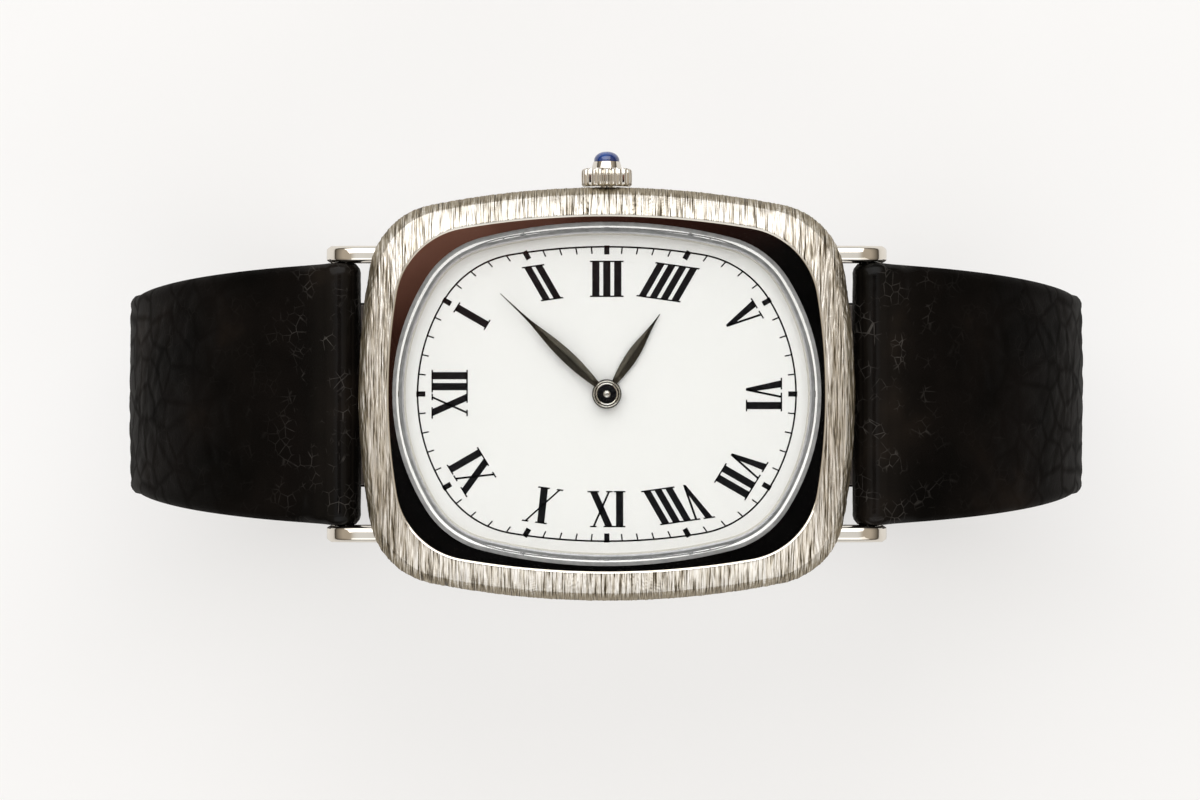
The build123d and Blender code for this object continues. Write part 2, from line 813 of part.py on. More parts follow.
def main_plate():
    """Base plate of the movement with its stem boss, window, pivot holes and screw holes."""
    body = disc(hand_axis, plate_radius, plate_bottom, plate_top)
    boss_start = plate_radius - boss_length
    boss = block(-boss_half_width, boss_half_width, boss_start, plate_radius, bridge_top, plate_bottom)
    body += boss & disc(hand_axis, plate_radius, bridge_top, plate_bottom)
    window_start = sliding_pinion_y - crown_travel - window_clearance
    window_end = boss_start - part_clearance
    half = window_half_width
    body -= block(-half, half, window_start, window_end, bridge_top, plate_top + overrun)
    slot_end = lever_groove_y + crown_travel + lever_pin_radius + part_clearance
    body -= block(-lever_slot_half_width, lever_slot_half_width, window_start, slot_end, plate_bottom,
                  plate_top + overrun)
    tail_start = stem_start - crown_travel
    body -= block(-stem_radius, stem_radius, tail_start, window_start, bridge_top, stem_z + stem_radius)
    body -= rod(stem_radius + part_clearance, tail_start, plate_radius + overrun, z=stem_z)
    body = with_jewel_seats(body, plate_bottom, plate_top)
    body -= disc(hand_axis, arbor_radius + running_clearance, plate_bottom - overrun, plate_top + overrun)
    pivot_hole = barrel_pivot_radius + running_clearance
    body -= disc(barrel_centre, pivot_hole, plate_bottom - overrun, plate_top + overrun)
    for pivot in (minute_wheel_centre, setting_centre, lever_pivot(), yoke_pivot()):
        body -= disc(pivot, lever_pivot_radius + running_clearance, plate_bottom, plate_top + overrun)
    for bearing in dial_foot_bearings:
        foot = step_from(hand_axis, dial_foot_place, bearing)
        body -= disc(foot, dial_foot_radius + fit_clearance, plate_bottom, plate_top + overrun)
    for bearing in post_bearings():
        body -= disc(post(bearing), screw_shank_radius + screw_clearance, plate_bottom - overrun, plate_top)
    body -= disc(pallet_post(), screw_shank_radius, plate_bottom, plate_top - plate_thickness / 2)
    return body


def bridge_blank():
    """The round plate that all bridges are sawn from."""
    return disc(hand_axis, plate_radius - wide_clearance, bridge_bottom, bridge_top)


def bridge_line_block(side):
    """A large block on one side of the slanted line between the barrel bridge and the train bridge."""
    reach = saw_reach
    turn = degrees(atan2(bridge_line_rise, 1))
    gap = bridge_slit / 2
    low, high = (gap, reach) if side > 0 else (-reach, -gap)
    beam = block(-reach, reach, low, high, bridge_bottom - overrun, bridge_top + overrun)
    return Pos(0, bridge_line_drop, 0) * Rot(0, 0, turn) * beam


def finished_bridge(body, bearings):
    """Adds the posts of a bridge and cuts its screw holes and jewel seats."""
    for bearing in bearings:
        body += disc(post(bearing), post_radius, bridge_top, plate_bottom)
    for bearing in bearings:
        body -= bridge_screw_hole(post(bearing), bridge_bottom)
    return with_jewel_seats(body, bridge_bottom, bridge_top)


def barrel_bridge():
    """Bridge over the barrel and the winding wheels."""
    side = block(-saw_reach, bridge_side, -saw_reach, saw_reach, bridge_bottom, bridge_top)
    body = bridge_blank() & bridge_line_block(1) & side
    pivot = barrel_neck_radius + running_clearance
    body -= disc(barrel_centre, pivot, bridge_bottom - overrun, bridge_top + overrun)
    body -= disc(crown_wheel_centre, crown_wheel_stud_radius + running_clearance, bridge_bottom - overrun,
                 bridge_top + overrun)
    body -= disc(click_pivot(), lever_pivot_radius + running_clearance, bridge_bottom, bridge_top + overrun)
    return finished_bridge(body, (barrel_low_post_bearing, barrel_high_post_bearing))


def train_bridge():
    """Bridge over the centre, third, fourth and escape wheels."""
    body = bridge_blank() & bridge_line_block(-1)
    body -= disc(balance_centre, balance_radius + balance_room, bridge_bottom - overrun, bridge_top + overrun)
    body -= disc(hand_axis, arbor_radius + running_clearance, bridge_bottom - overrun, bridge_top + overrun)
    return finished_bridge(body, (train_low_post_bearing, train_side_post_bearing))


def balance_cock():
    """Single-footed bridge that carries the balance."""
    body = bar(post(cock_post_bearing), balance_centre, cock_half_width, bridge_bottom, bridge_top)
    return finished_bridge(body, (cock_post_bearing,))


def pallet_post():
    """Foot of the pallet bridge on the main plate."""
    return step_from(pallet_centre, pallet_bridge_reach, balance_bearing - 90)


def pallet_levels():
    """Bottom and top of the pallet fork."""
    top = plate_bottom - third_wheel_gap + part_clearance
    return top - fork_thickness, top


def pallet_bridge():
    """Small bridge under the balance rim that holds the pallet fork."""
    fork_bottom = pallet_levels()[0]
    bottom = balance_bottom + balance_thickness + part_clearance
    top = fork_bottom - part_clearance
    body = bar(pallet_centre, pallet_post(), pallet_bridge_width / 2, bottom, top)
    body += disc(pallet_post(), pallet_bridge_width / 2, bottom, plate_bottom)
    return body - disc(pallet_centre, pivot_radius + running_clearance, bottom - overrun, top + overrun)


def barrel_drum():
    """Toothed drum that holds the mainspring, open below for its cover."""
    body = disc(barrel_centre, drum_radius, barrel_bottom, barrel_top)
    tooth_bottom = barrel_top - barrel_tooth_height
    body += gear(barrel_centre, barrel_teeth, barrel_module, 0, tooth_bottom, barrel_tooth_height)
    body -= disc(barrel_centre, drum_radius - barrel_wall, barrel_bottom - overrun, barrel_top - barrel_floor)
    hole = barrel_pivot_radius + loose_clearance
    return body - disc(barrel_centre, hole, barrel_bottom, barrel_top + overrun)


def barrel_cover():
    """Lid snapped into the open side of the drum."""
    body = disc(barrel_centre, drum_radius - barrel_wall - fit_clearance / 2, barrel_bottom,
                barrel_bottom + barrel_floor)
    hole = barrel_neck_radius + running_clearance
    return body - disc(barrel_centre, hole, barrel_bottom - overrun, barrel_bottom + barrel_floor + overrun)


def mainspring():
    """Coiled strip between the drum's wall and the arbor."""
    height = barrel_height - 2 * barrel_floor - wide_clearance
    outer = drum_radius - barrel_wall - mainspring_clearance
    inner = barrel_arbor_radius + mainspring_clearance
    coil = spiral(inner, outer, mainspring_turns, mainspring_strip, height)
    return Pos(barrel_centre[0], barrel_centre[1], barrel_bottom + barrel_floor + part_clearance) * coil


def barrel_arbor():
    """Arbor of the barrel with its hub inside the drum and a seat for the ratchet wheel."""
    hub_bottom = barrel_bottom + barrel_floor + tight_clearance
    hub_top = barrel_top - barrel_floor - tight_clearance
    body = disc(barrel_centre, barrel_arbor_radius, hub_bottom, hub_top)
    body += disc(barrel_centre, barrel_neck_radius, bridge_bottom, hub_bottom)
    return body + disc(barrel_centre, barrel_pivot_radius, hub_top, plate_top - part_clearance)


def ratchet_wheel():
    """Wheel on the barrel arbor, turned by the crown wheel."""
    body = gear(barrel_centre, ratchet_wheel_teeth, winding_module, ratchet_wheel_phase, winding_bottom,
                winding_wheel_thickness)
    top = winding_bottom + winding_wheel_thickness
    return body - disc(barrel_centre, barrel_neck_radius + screw_clearance, winding_bottom - overrun,
                       top + overrun)


def click_pivot():
    """Pivot of the click, beside the ratchet wheel."""
    reach = tip_radius(ratchet_wheel_teeth, winding_module) + click_place_gap
    return step_from(barrel_centre, reach, click_bearing)


def ratchet_click():
    """Pawl that stands at the ratchet wheel's teeth, on its own pivot pin."""
    pivot = click_pivot()
    contact_radius = tip_radius(ratchet_wheel_teeth, winding_module) + running_clearance
    bearing = degrees(atan2(pivot[1] - barrel_centre[1], pivot[0] - barrel_centre[0]))
    share = click_length / contact_radius
    tip = step_from(barrel_centre, contact_radius + click_arm_half_width, bearing + degrees(share))
    top = winding_bottom + winding_wheel_thickness
    body = disc(pivot, click_boss_radius, winding_bottom, top)
    body += bar(pivot, tip, click_arm_half_width, winding_bottom, top)
    return body + disc(pivot, lever_pivot_radius, bridge_bottom + bridge_thickness / 2, winding_bottom)


def crown_wheel():
    """Wheel between the winding pinion and the ratchet wheel, on a stud in the barrel bridge."""
    body = gear(crown_wheel_centre, crown_wheel_teeth, winding_module, 0, winding_bottom,
                winding_wheel_thickness)
    return body + disc(crown_wheel_centre, crown_wheel_stud_radius, bridge_bottom, winding_bottom)


def centre_wheel():
    """Wheel, pinion and long arbor that carries the cannon pinion."""
    radius = centre_module * centre_wheel_teeth / 2
    body = gear(hand_axis, centre_wheel_teeth, centre_module, 0, centre_wheel_bottom, centre_thickness)
    body = lightened(body, hand_axis, radius, centre_wheel_bottom, centre_thickness)
    leaf_bottom = centre_wheel_bottom + centre_thickness
    body += gear(hand_axis, centre_pinion_leaves, barrel_module, centre_pinion_phase, leaf_bottom,
                 plate_bottom - part_clearance - leaf_bottom)
    body += disc(hand_axis, arbor_radius, bridge_bottom, centre_wheel_bottom)
    return body + disc(hand_axis, arbor_radius, plate_bottom - part_clearance, minute_hand_bottom)


def third_wheel():
    """Wheel near the plate with its pinion level with the centre wheel."""
    radius = third_module * third_wheel_teeth / 2
    body = gear(third_centre, third_wheel_teeth, third_module, 0, third_wheel_bottom, train_thickness)
    body = lightened(body, third_centre, radius, third_wheel_bottom, train_thickness)
    leaf_bottom = centre_wheel_bottom - part_clearance
    leaf_top = fourth_wheel_bottom - tight_clearance
    body += gear(third_centre, third_pinion_leaves, centre_module, third_pinion_phase, leaf_bottom,
                 leaf_top - leaf_bottom)
    return body + arbor(third_centre)


def arbor(centre):
    """Thin arbor with a pivot in each jewel."""
    shoulder_low = bridge_top + tight_clearance
    shoulder_high = plate_bottom - tight_clearance
    body = disc(centre, arbor_radius, shoulder_low, shoulder_high)
    body += disc(centre, pivot_radius, bridge_bottom + part_clearance, shoulder_low)
    return body + disc(centre, pivot_radius, shoulder_high, plate_top - part_clearance)


def fourth_wheel():
    """Wheel level with the escape pinion, its own pinion near the plate."""
    radius = fourth_module * fourth_wheel_teeth / 2
    body = gear(fourth_centre, fourth_wheel_teeth, fourth_module, 0, fourth_wheel_bottom, train_thickness)
    body = lightened(body, fourth_centre, radius, fourth_wheel_bottom, train_thickness)
    leaf_bottom = third_wheel_bottom - wide_clearance
    leaf_top = plate_bottom - part_clearance
    body += gear(fourth_centre, fourth_pinion_leaves, third_module, fourth_pinion_phase, leaf_bottom,
                 leaf_top - leaf_bottom)
    return body + arbor(fourth_centre)


def escape_wheel():
    """Wheel with fifteen slanted teeth and a small pinion."""
    hub = escape_radius - escape_tooth_depth
    points = []
    for tooth in range(escape_teeth):
        angle = tooth * 360 / escape_teeth
        width = degrees(escape_tooth_width / escape_radius)
        for radius, turn in ((hub, 0.0), (escape_radius, width), (escape_radius, width * 2), (hub, width * 3)):
            points.append(step_from(hand_axis, radius, angle + turn))
    face = make_face(Polyline(*points, close=True))
    body = Pos(escape_centre[0], escape_centre[1], third_wheel_bottom) * extrude(face, train_thickness)
    body = lightened(body, escape_centre, hub, third_wheel_bottom, train_thickness)
    leaf_bottom = fourth_wheel_bottom - part_clearance
    body += gear(escape_centre, escape_pinion_leaves, fourth_module, escape_pinion_phase, leaf_bottom,
                 train_thickness + wide_clearance)
    return body + arbor(escape_centre)


def pallet_fork():
    """Lever with two arms beside the escape wheel and a fork towards the balance."""
    bottom, top = pallet_levels()
    tail = fork_reach - impulse_pin_place - impulse_pin_radius * 2 - fork_width
    end = step_from(pallet_centre, tail, balance_bearing)
    body = bar(pallet_centre, end, fork_width / 2, bottom, top)
    contact = escape_radius + pallet_clearance + pallet_width / 2
    for side in (pallet_span, -pallet_span):
        stone = step_from(escape_centre, contact, balance_bearing + side)
        body += bar(pallet_centre, stone, pallet_width / 2, bottom, top)
    body += disc(pallet_centre, fork_width, bottom, top)
    bridge_level = balance_bottom + balance_thickness + part_clearance
    body += disc(pallet_centre, pivot_radius, bridge_level + tight_clearance, plate_top - part_clearance)
    return body


def balance_wheel():
    """Rim, two arms and hub of the balance."""
    top = balance_bottom + balance_thickness
    ring = disc(balance_centre, balance_radius, balance_bottom, top)
    ring -= disc(balance_centre, balance_radius - balance_rim, balance_bottom - overrun, top + overrun)
    reach = balance_radius - balance_rim / 2
    start = step_from(balance_centre, reach, balance_bearing)
    end = step_from(balance_centre, -reach, balance_bearing)
    body = ring + bar(start, end, balance_arm / 2, balance_bottom, top) + disc(
        balance_centre, balance_arm, balance_bottom, top)
    return body - disc(balance_centre, staff_radius + screw_clearance, balance_bottom - overrun, top + overrun)


def balance_staff():
    """Staff of the balance with its roller and impulse pin."""
    fork_bottom, fork_top = pallet_levels()
    roller_bottom = balance_bottom + balance_thickness + wide_clearance
    shoulder = plate_bottom - part_clearance
    body = disc(balance_centre, staff_radius, hairspring_bottom - tight_clearance, shoulder)
    body += disc(balance_centre, pivot_radius, bridge_bottom + part_clearance, hairspring_bottom)
    body += disc(balance_centre, pivot_radius, shoulder, plate_top - part_clearance)
    body += disc(balance_centre, roller_radius, roller_bottom, fork_bottom - part_clearance)
    pin = step_from(balance_centre, impulse_pin_place, balance_bearing + 180)
    return body + disc(pin, impulse_pin_radius, roller_bottom, fork_top - part_clearance)


def hairspring():
    """Flat coil around the balance staff, held at its outer end by the cock."""
    coil = spiral(hairspring_inner, hairspring_outer, hairspring_turns, hairspring_strip, hairspring_height)
    half = hairspring_stud_half_width
    stud = block(hairspring_outer - hairspring_stud_length, hairspring_outer, -half, half,
                 bridge_top - hairspring_bottom, hairspring_height)
    turn = balance_bearing + 90
    body = Rot(0, 0, turn) * (coil + mirror(stud, about=Plane.YZ))
    return Pos(balance_centre[0], balance_centre[1], hairspring_bottom) * body


def cannon_pinion():
    """Friction-fitted tube on the centre arbor that carries the minute hand."""
    bottom = plate_top + tight_clearance
    leaves = motion_bottom + motion_thickness
    top = minute_hand_bottom + hand_thickness
    body = gear(hand_axis, cannon_leaves, motion_module, 0, bottom, leaves - bottom)
    body += disc(hand_axis, cannon_radius, leaves, top)
    return body - disc(hand_axis, arbor_radius + running_clearance, bottom - overrun,
                       minute_hand_bottom + fit_clearance)


def minute_wheel():
    """Wheel and pinion between the cannon pinion and the hour wheel."""
    leaves = motion_bottom + motion_thickness
    body = gear(minute_wheel_centre, minute_wheel_teeth, motion_module, minute_wheel_phase, motion_bottom,
                motion_thickness)
    body += gear(minute_wheel_centre, minute_pinion_leaves, motion_module, 0, leaves,
                 dial_bottom - wide_clearance - leaves)
    return body + disc(minute_wheel_centre, lever_pivot_radius, plate_bottom + part_clearance, motion_bottom)


def hour_wheel():
    """Toothed disc with a tube that carries the hour hand."""
    bottom = motion_bottom + motion_thickness * 2 - tight_clearance
    inner = cannon_radius + loose_clearance
    outer = cannon_radius + hour_tube_wall
    body = gear(hand_axis, hour_wheel_teeth, motion_module, hour_wheel_phase, bottom, motion_thickness)
    body += disc(hand_axis, outer, bottom, hour_hand_bottom + hand_thickness)
    return body - disc(hand_axis, inner, bottom - overrun, hour_hand_bottom + hand_thickness + overrun)


def setting_wheel():
    """Wheel that the sliding pinion reaches when the crown is pulled."""
    body = gear(setting_centre, setting_wheel_teeth, motion_module, setting_wheel_phase, motion_bottom,
                motion_thickness)
    return body + disc(setting_centre, lever_pivot_radius, plate_bottom + part_clearance, motion_bottom)


def hand(length, width, hub_radius, bore_radius, bottom, clock_angle):
    """A leaf-shaped hand that points at its place on the dial."""
    shares = zip(hand_station_shares, hand_width_shares)
    stations = [(share * length, wide * width / 2) for share, wide in shares]
    upper = Spline(*stations)
    lower = Spline(*[(x, -y) for x, y in stations])
    caps = [Line(upper @ 0, lower @ 0), Line(upper @ 1, lower @ 1)]
    blade = extrude(Face(Wire([upper, lower] + caps)), hand_thickness, dir=(0, 0, 1))
    body = blade + disc(hand_axis, hub_radius, 0, hand_thickness)
    body -= disc(hand_axis, bore_radius, -overrun, hand_thickness + overrun)
    return Pos(0, 0, bottom) * Rot(0, 0, 180 - clock_angle) * body


def hour_hand():
    """Hour hand on the hour wheel's tube."""
    bore = cannon_radius + hour_tube_wall + screw_clearance
    return hand(hour_hand_length, hour_hand_width, hour_hub_radius, bore, hour_hand_bottom,
                hour_hand_clock_angle)


def minute_hand():
    """Minute hand on the cannon pinion."""
    bore = cannon_radius + screw_clearance
    return hand(minute_hand_length, minute_hand_width, minute_hub_radius, bore, minute_hand_bottom,
                minute_hand_clock_angle)


def lever_pivot():
    """Pivot of the setting lever, level with the stem's groove."""
    return (lever_arm, lever_groove_y)


def yoke_pivot():
    """Pivot of the yoke, level with the sliding pinion's groove."""
    return (-yoke_arm, pinion_groove_y)


def winding_stem():
    """Stem with the groove that the setting lever holds."""
    half_groove = stem_groove_width / 2
    body = rod(stem_radius, stem_start, crown_end, z=stem_z)
    ring = rod(stem_radius + overrun, lever_groove_y - half_groove, lever_groove_y + half_groove, z=stem_z)
    ring -= rod(stem_groove_radius, lever_groove_y - overrun, lever_groove_y + overrun, z=stem_z)
    return body - ring


def winding_pinion():
    """Pinion on the stem that turns the crown wheel."""
    phase = 90 + 180 / winding_pinion_teeth
    body = Rot(-90, 0, 0) * toothed(winding_pinion_teeth, winding_module, phase, winding_pinion_length)
    body = Pos(0, winding_pinion_y, stem_z) * body
    return body - rod(stem_radius + running_clearance, winding_pinion_y - overrun,
                      winding_pinion_y + winding_pinion_length + overrun, z=stem_z)


def sliding_pinion():
    """Pinion that slides along the stem between winding and setting."""
    groove_low = pinion_groove_y - pinion_groove_width / 2
    groove_high = pinion_groove_y + pinion_groove_width / 2
    end = sliding_pinion_y + sliding_pinion_length
    teeth = Rot(-90, 0, 0) * toothed(sliding_pinion_teeth, winding_module, 90, groove_low - sliding_pinion_y)
    body = Pos(0, sliding_pinion_y, stem_z) * teeth
    body += rod(pinion_groove_radius, groove_low, groove_high, z=stem_z)
    body += rod(winding_module * sliding_pinion_teeth / 2, groove_high, end, z=stem_z)
    return body - rod(stem_radius + running_clearance, sliding_pinion_y - overrun, end + overrun, z=stem_z)


def setting_lever():
    """Lever whose pin lies in the stem's groove."""
    bottom = motion_bottom
    pin = (0.0, lever_groove_y)
    body = bar(pin, lever_pivot(), lever_width / 2, bottom, bottom + lever_thickness)
    body += disc(pin, lever_pin_radius, stem_z + stem_groove_radius + part_clearance, bottom)
    return body + disc(lever_pivot(), lever_pivot_radius, plate_bottom + part_clearance, bottom)


def yoke():
    """Lever whose pin lies in the sliding pinion's groove."""
    bottom = motion_bottom + lever_thickness + running_clearance
    pin = (0.0, pinion_groove_y)
    body = bar(pin, yoke_pivot(), lever_width / 2, bottom, bottom + lever_thickness)
    body += disc(pin, yoke_pin_radius, stem_z + pinion_groove_radius + part_clearance, bottom)
    return body + disc(yoke_pivot(), lever_pivot_radius, plate_bottom + part_clearance, bottom)


def crown():
    """Fluted crown with a collar that holds the cabochon."""
    body = rod(crown_radius, crown_start, crown_end, z=stem_z)
    for flute in range(crown_flutes):
        x, z = step_from((0, stem_z), crown_radius + flute_radius - flute_depth, flute * 360 / crown_flutes)
        body -= rod(flute_radius, crown_start - overrun, crown_end + overrun, x=x, z=z)
    body += rod(crown_collar_radius, crown_end, collar_end, z=stem_z)
    body -= rod(cabochon_radius, collar_end - cabochon_seat, collar_end + overrun, z=stem_z)
    body -= rod(tube_radius + part_clearance, crown_start - overrun, crown_start + crown_bore_depth, z=stem_z)
    return body - rod(stem_radius + screw_clearance, crown_start, crown_end, z=stem_z)


def crown_cabochon():
    """Domed blue stone set in the crown's collar."""
    radius = cabochon_radius - screw_clearance
    seat = collar_end - cabochon_seat
    dome = seat + cabochon_height * (1 - cabochon_dome_share)
    tip = seat + cabochon_height
    middle_turn = radians(cabochon_middle_angle)
    middle = (radius * cos(middle_turn), dome + (tip - dome) * sin(middle_turn))
    profile = [
        Line((0, seat), (radius, seat)),
        Line((radius, seat), (radius, dome)),
        Spline((radius, dome), middle, (0, tip), tangents=((0, 1), (-1, 0))),
        Line((0, tip), (0, seat)),
    ]
    return Pos(0, 0, stem_z) * revolve(Face(Wire(profile)), Axis.Y)


def crown_tube():
    """Tube in the case wall that guides the stem and enters the crown."""
    start = crystal_outline[1] - cavity_inset
    body = rod(tube_radius, start, tube_end, z=stem_z)
    return body - rod(stem_radius + part_clearance, start - overrun, tube_end + overrun, z=stem_z)


def spring_bars():
    """The two spring bar tubes, bored at each end for their sprung tips."""
    bars = []
    half = lug_inner_y - bar_tube_inset
    for x in (spring_bar_x, -spring_bar_x):
        body = rod(bar_tube_radius, -half, half, x=x, z=spring_bar_height)
        for start, end in ((half - bar_bore_depth, half + overrun), (-half - overrun, bar_bore_depth - half)):
            body -= rod(bar_foot_radius + running_clearance, start, end, x=x, z=spring_bar_height)
        bars.append(body)
    return bars


def spring_bar_tip(end, side):
    """Sprung tip of a spring bar: a foot in the tube and a pin in the lug."""
    half = lug_inner_y - bar_tube_inset
    foot = half - bar_foot_length
    body = rod(bar_foot_radius, foot, half, x=end * spring_bar_x, z=spring_bar_height)
    body += rod(bar_tip_radius, half, lug_inner_y + bar_tip_entry, x=end * spring_bar_x, z=spring_bar_height)
    return body if side > 0 else mirror(body, about=Plane.XZ)


def band(start, heading, path, low, high):
    """A side-view face that follows lines and arcs, between two offsets to the left of the way."""
    sides = {low: [], high: []}
    x, z = start
    turn = radians(heading)
    for kind, size, angle in path:
        if kind == "line":
            end = (x + size * cos(turn), z + size * sin(turn))
            for offset, edges in sides.items():
                shift = (-offset * sin(turn), offset * cos(turn))
                edges.append(Line((x + shift[0], z + shift[1]), (end[0] + shift[0], end[1] + shift[1])))
        else:
            way = 1 if angle > 0 else -1
            centre = (x - way * size * sin(turn), z + way * size * cos(turn))
            sweep = radians(angle)
            for offset, edges in sides.items():
                radius = size - way * offset
                points = []
                for part in (0, 0.5, 1):
                    now = turn + sweep * part
                    points.append((centre[0] + way * radius * sin(now), centre[1] - way * radius * cos(now)))
                edges.append(ThreePointArc(*points))
            end = (centre[0] + way * size * sin(turn + sweep), centre[1] - way * size * cos(turn + sweep))
            turn += sweep
        x, z = end
    first, second = sides[low], sides[high]
    caps = [Line(first[0] @ 0, second[0] @ 0), Line(first[-1] @ 1, second[-1] @ 1)]
    return Face(Wire(first + second + caps))


def upright_slab(face, half_width):
    """Turns a side-view face upright and gives it a width on both sides of the middle."""
    plane = Plane(origin=(0, half_width, 0), x_dir=(1, 0, 0), z_dir=(0, -1, 0))
    return extrude(plane * face, 2 * half_width)


def tapered(body):
    """Cuts the strap's sides, wide between the lugs and narrow round the wrist."""
    top = spring_bar_height + strap_depth
    waist = spring_bar_height - taper_depth
    bottom = base_z - strap_depth
    wide, narrow = strap_half_width, strap_end_half_width
    points = [(wide, top), (wide, spring_bar_height), (narrow, waist), (narrow, bottom)]
    points += [(-y, z) for y, z in reversed(points)]
    face = make_face(Polyline(*points, close=True))
    reach = loop_half_width + strap_thickness
    plane = Plane(origin=(-reach, 0, 0), x_dir=(0, 1, 0), z_dir=(1, 0, 0))
    return body & extrude(plane * face, 2 * reach)


def upper_path():
    """The way from a spring bar round the wrist to the flat bottom."""
    return [
        ("line", strap_straight, 0),
        ("arc", loop_top_radius, strap_start_slope - 90),
        ("arc", loop_low_radius, -90),
    ]


def tip_half_path():
    """The way of the strap half with the holes: through the frame and over the other half."""
    return upper_path() + [
        ("line", flat_half_length - step_end_x - step_length, 0),
        ("arc", step_radius, step_turn),
        ("arc", step_radius, -step_turn),
        ("line", flat_half_length + step_end_x, 0),
        ("arc", loop_low_radius + layer_pitch, -tip_turn),
    ]


def lug_roll():
    """Round end of a strap half around its spring bar, on the six o'clock side."""
    return rod(roll_radius, -strap_half_width, strap_half_width, x=spring_bar_x, z=spring_bar_height)


def spring_bar_hole():
    """Space for the spring bar through the strap's rolled end."""
    reach = strap_half_width + overrun
    return rod(bar_tube_radius + part_clearance, -reach, reach, x=spring_bar_x, z=spring_bar_height)


def tongue_slot():
    """Space in the tip half where the tongue goes through."""
    start = buckle_bar_x + slot_start
    half = slot_width / 2
    low = outer_layer_z - strap_thickness
    high = inner_layer_z + strap_thickness
    return block(start, start + slot_length, -half, half, low, high)


def leather(path):
    """Outer leather of a strap half with its rolled end, on the six o'clock side."""
    start = (spring_bar_x, spring_bar_height)
    face = band(start, -strap_start_slope, path, lining_thickness - half_strap, half_strap)
    body = upright_slab(face, strap_half_width) + lug_roll() - spring_bar_hole()
    return tapered(body)


def lining(path):
    """Inner lining of a strap half, from its rolled end onwards."""
    start = (spring_bar_x, spring_bar_height)
    face = band(start, -strap_start_slope, path, -half_strap, lining_thickness - half_strap)
    return tapered(upright_slab(face, strap_half_width) - lug_roll())


def strap_tip_half():
    """Leather of the six o'clock half, which ends over the other half."""
    return leather(tip_half_path()) - tongue_slot()


def strap_tip_lining():
    """Lining of the six o'clock half."""
    return lining(tip_half_path()) - tongue_slot()


def buckle_half_path():
    """The way of the strap half that carries the buckle, seen on the six o'clock side."""
    return upper_path() + [("line", flat_half_length + buckle_bar_x, 0)]


def buckle_notch():
    """Space for the tongue's eye in the folded end, on the six o'clock side."""
    reach = frame_end_radius + wide_clearance
    x = -buckle_bar_x
    half = tongue_notch / 2
    return block(x - reach, x + reach, -half, half, outer_layer_z, inner_layer_z + strap_thickness)


def strap_buckle_half():
    """Leather of the twelve o'clock half, folded round the buckle bar."""
    width = strap_end_half_width
    body = leather(buckle_half_path())
    body += rod(half_strap, -width, width, x=-buckle_bar_x, z=inner_layer_z)
    hole = buckle_bar_radius + bar_hole_clearance
    body -= rod(hole, -width - overrun, width + overrun, x=-buckle_bar_x, z=inner_layer_z)
    return mirror(body - buckle_notch(), about=Plane.YZ)


def strap_buckle_lining():
    """Lining of the twelve o'clock half, up to the folded end."""
    width = strap_end_half_width
    body = lining(buckle_half_path())
    body -= rod(half_strap, -width - overrun, width + overrun, x=-buckle_bar_x, z=inner_layer_z)
    return mirror(body - buckle_notch(), about=Plane.YZ)


def buckle_frame():
    """Frame of the buckle: two side arms on the bar and a crossbar outside the strap."""
    start_x = buckle_bar_x + crossbar_place
    end_x = start_x + crossbar_width
    top = inner_layer_z - half_strap - crossbar_gap
    bar_z = inner_layer_z
    outer_y = frame_inner_y + frame_side_width
    arm = make_face(Polyline(
        (buckle_bar_x, bar_z + frame_end_radius), (end_x, top), (end_x, base_z), (start_x, base_z),
        (buckle_bar_x, bar_z - frame_end_radius), close=True))
    side = upright_slab(arm, outer_y)
    side += rod(frame_end_radius, -outer_y, outer_y, x=buckle_bar_x, z=bar_z)
    gap = block(buckle_bar_x - frame_end_radius - overrun, end_x + overrun, -frame_inner_y, frame_inner_y,
                base_z - overrun, bar_z + frame_end_radius + overrun)
    body = side - gap
    body += block(start_x, end_x, -frame_inner_y, frame_inner_y, base_z, top)
    body = fillet(body.edges().filter_by(Axis.Y).group_by(Axis.Z)[0].group_by(Axis.X)[-1], frame_round)
    hole = buckle_bar_radius + screw_clearance
    body -= rod(hole, -outer_y - overrun, outer_y + overrun, x=buckle_bar_x, z=bar_z)
    notch = tongue_width / 2 + crossbar_notch_clearance
    notch_top = base_z + tongue_thickness + crossbar_notch_clearance * 2
    return body - block(start_x - overrun, end_x + overrun, -notch, notch, base_z - overrun, notch_top)


def buckle_bar():
    """Bar through the frame's arms and the strap's folded end."""
    reach = frame_inner_y + frame_side_width
    return rod(buckle_bar_radius, -reach, reach, x=buckle_bar_x, z=inner_layer_z)


def buckle_tongue():
    """Tongue on the buckle bar that goes through the strap and rests in the crossbar's notch."""
    half = tongue_thickness / 2
    rest_z = base_z + half + crossbar_notch_clearance
    bend_x = buckle_bar_x + crossbar_place - strap_thickness / 2
    end_x = buckle_bar_x + crossbar_place + crossbar_width
    slope = atan2(rest_z - inner_layer_z, bend_x - buckle_bar_x)
    run = hypot(rest_z - inner_layer_z, bend_x - buckle_bar_x)
    bend_radius = strap_thickness
    trim = bend_radius * abs(sin(slope)) / (1 + cos(slope))
    path = [
        ("line", run - trim, 0),
        ("arc", bend_radius, degrees(-slope)),
        ("line", end_x - bend_x - trim, 0),
    ]
    arm = band((buckle_bar_x, inner_layer_z), degrees(slope), path, -half, half)
    width = tongue_width / 2
    body = upright_slab(arm, width) + rod(tongue_eye_radius, -width, width, x=buckle_bar_x, z=inner_layer_z)
    hole = buckle_bar_radius + loose_clearance
    return body - rod(hole, -width - overrun, width + overrun, x=buckle_bar_x, z=inner_layer_z)


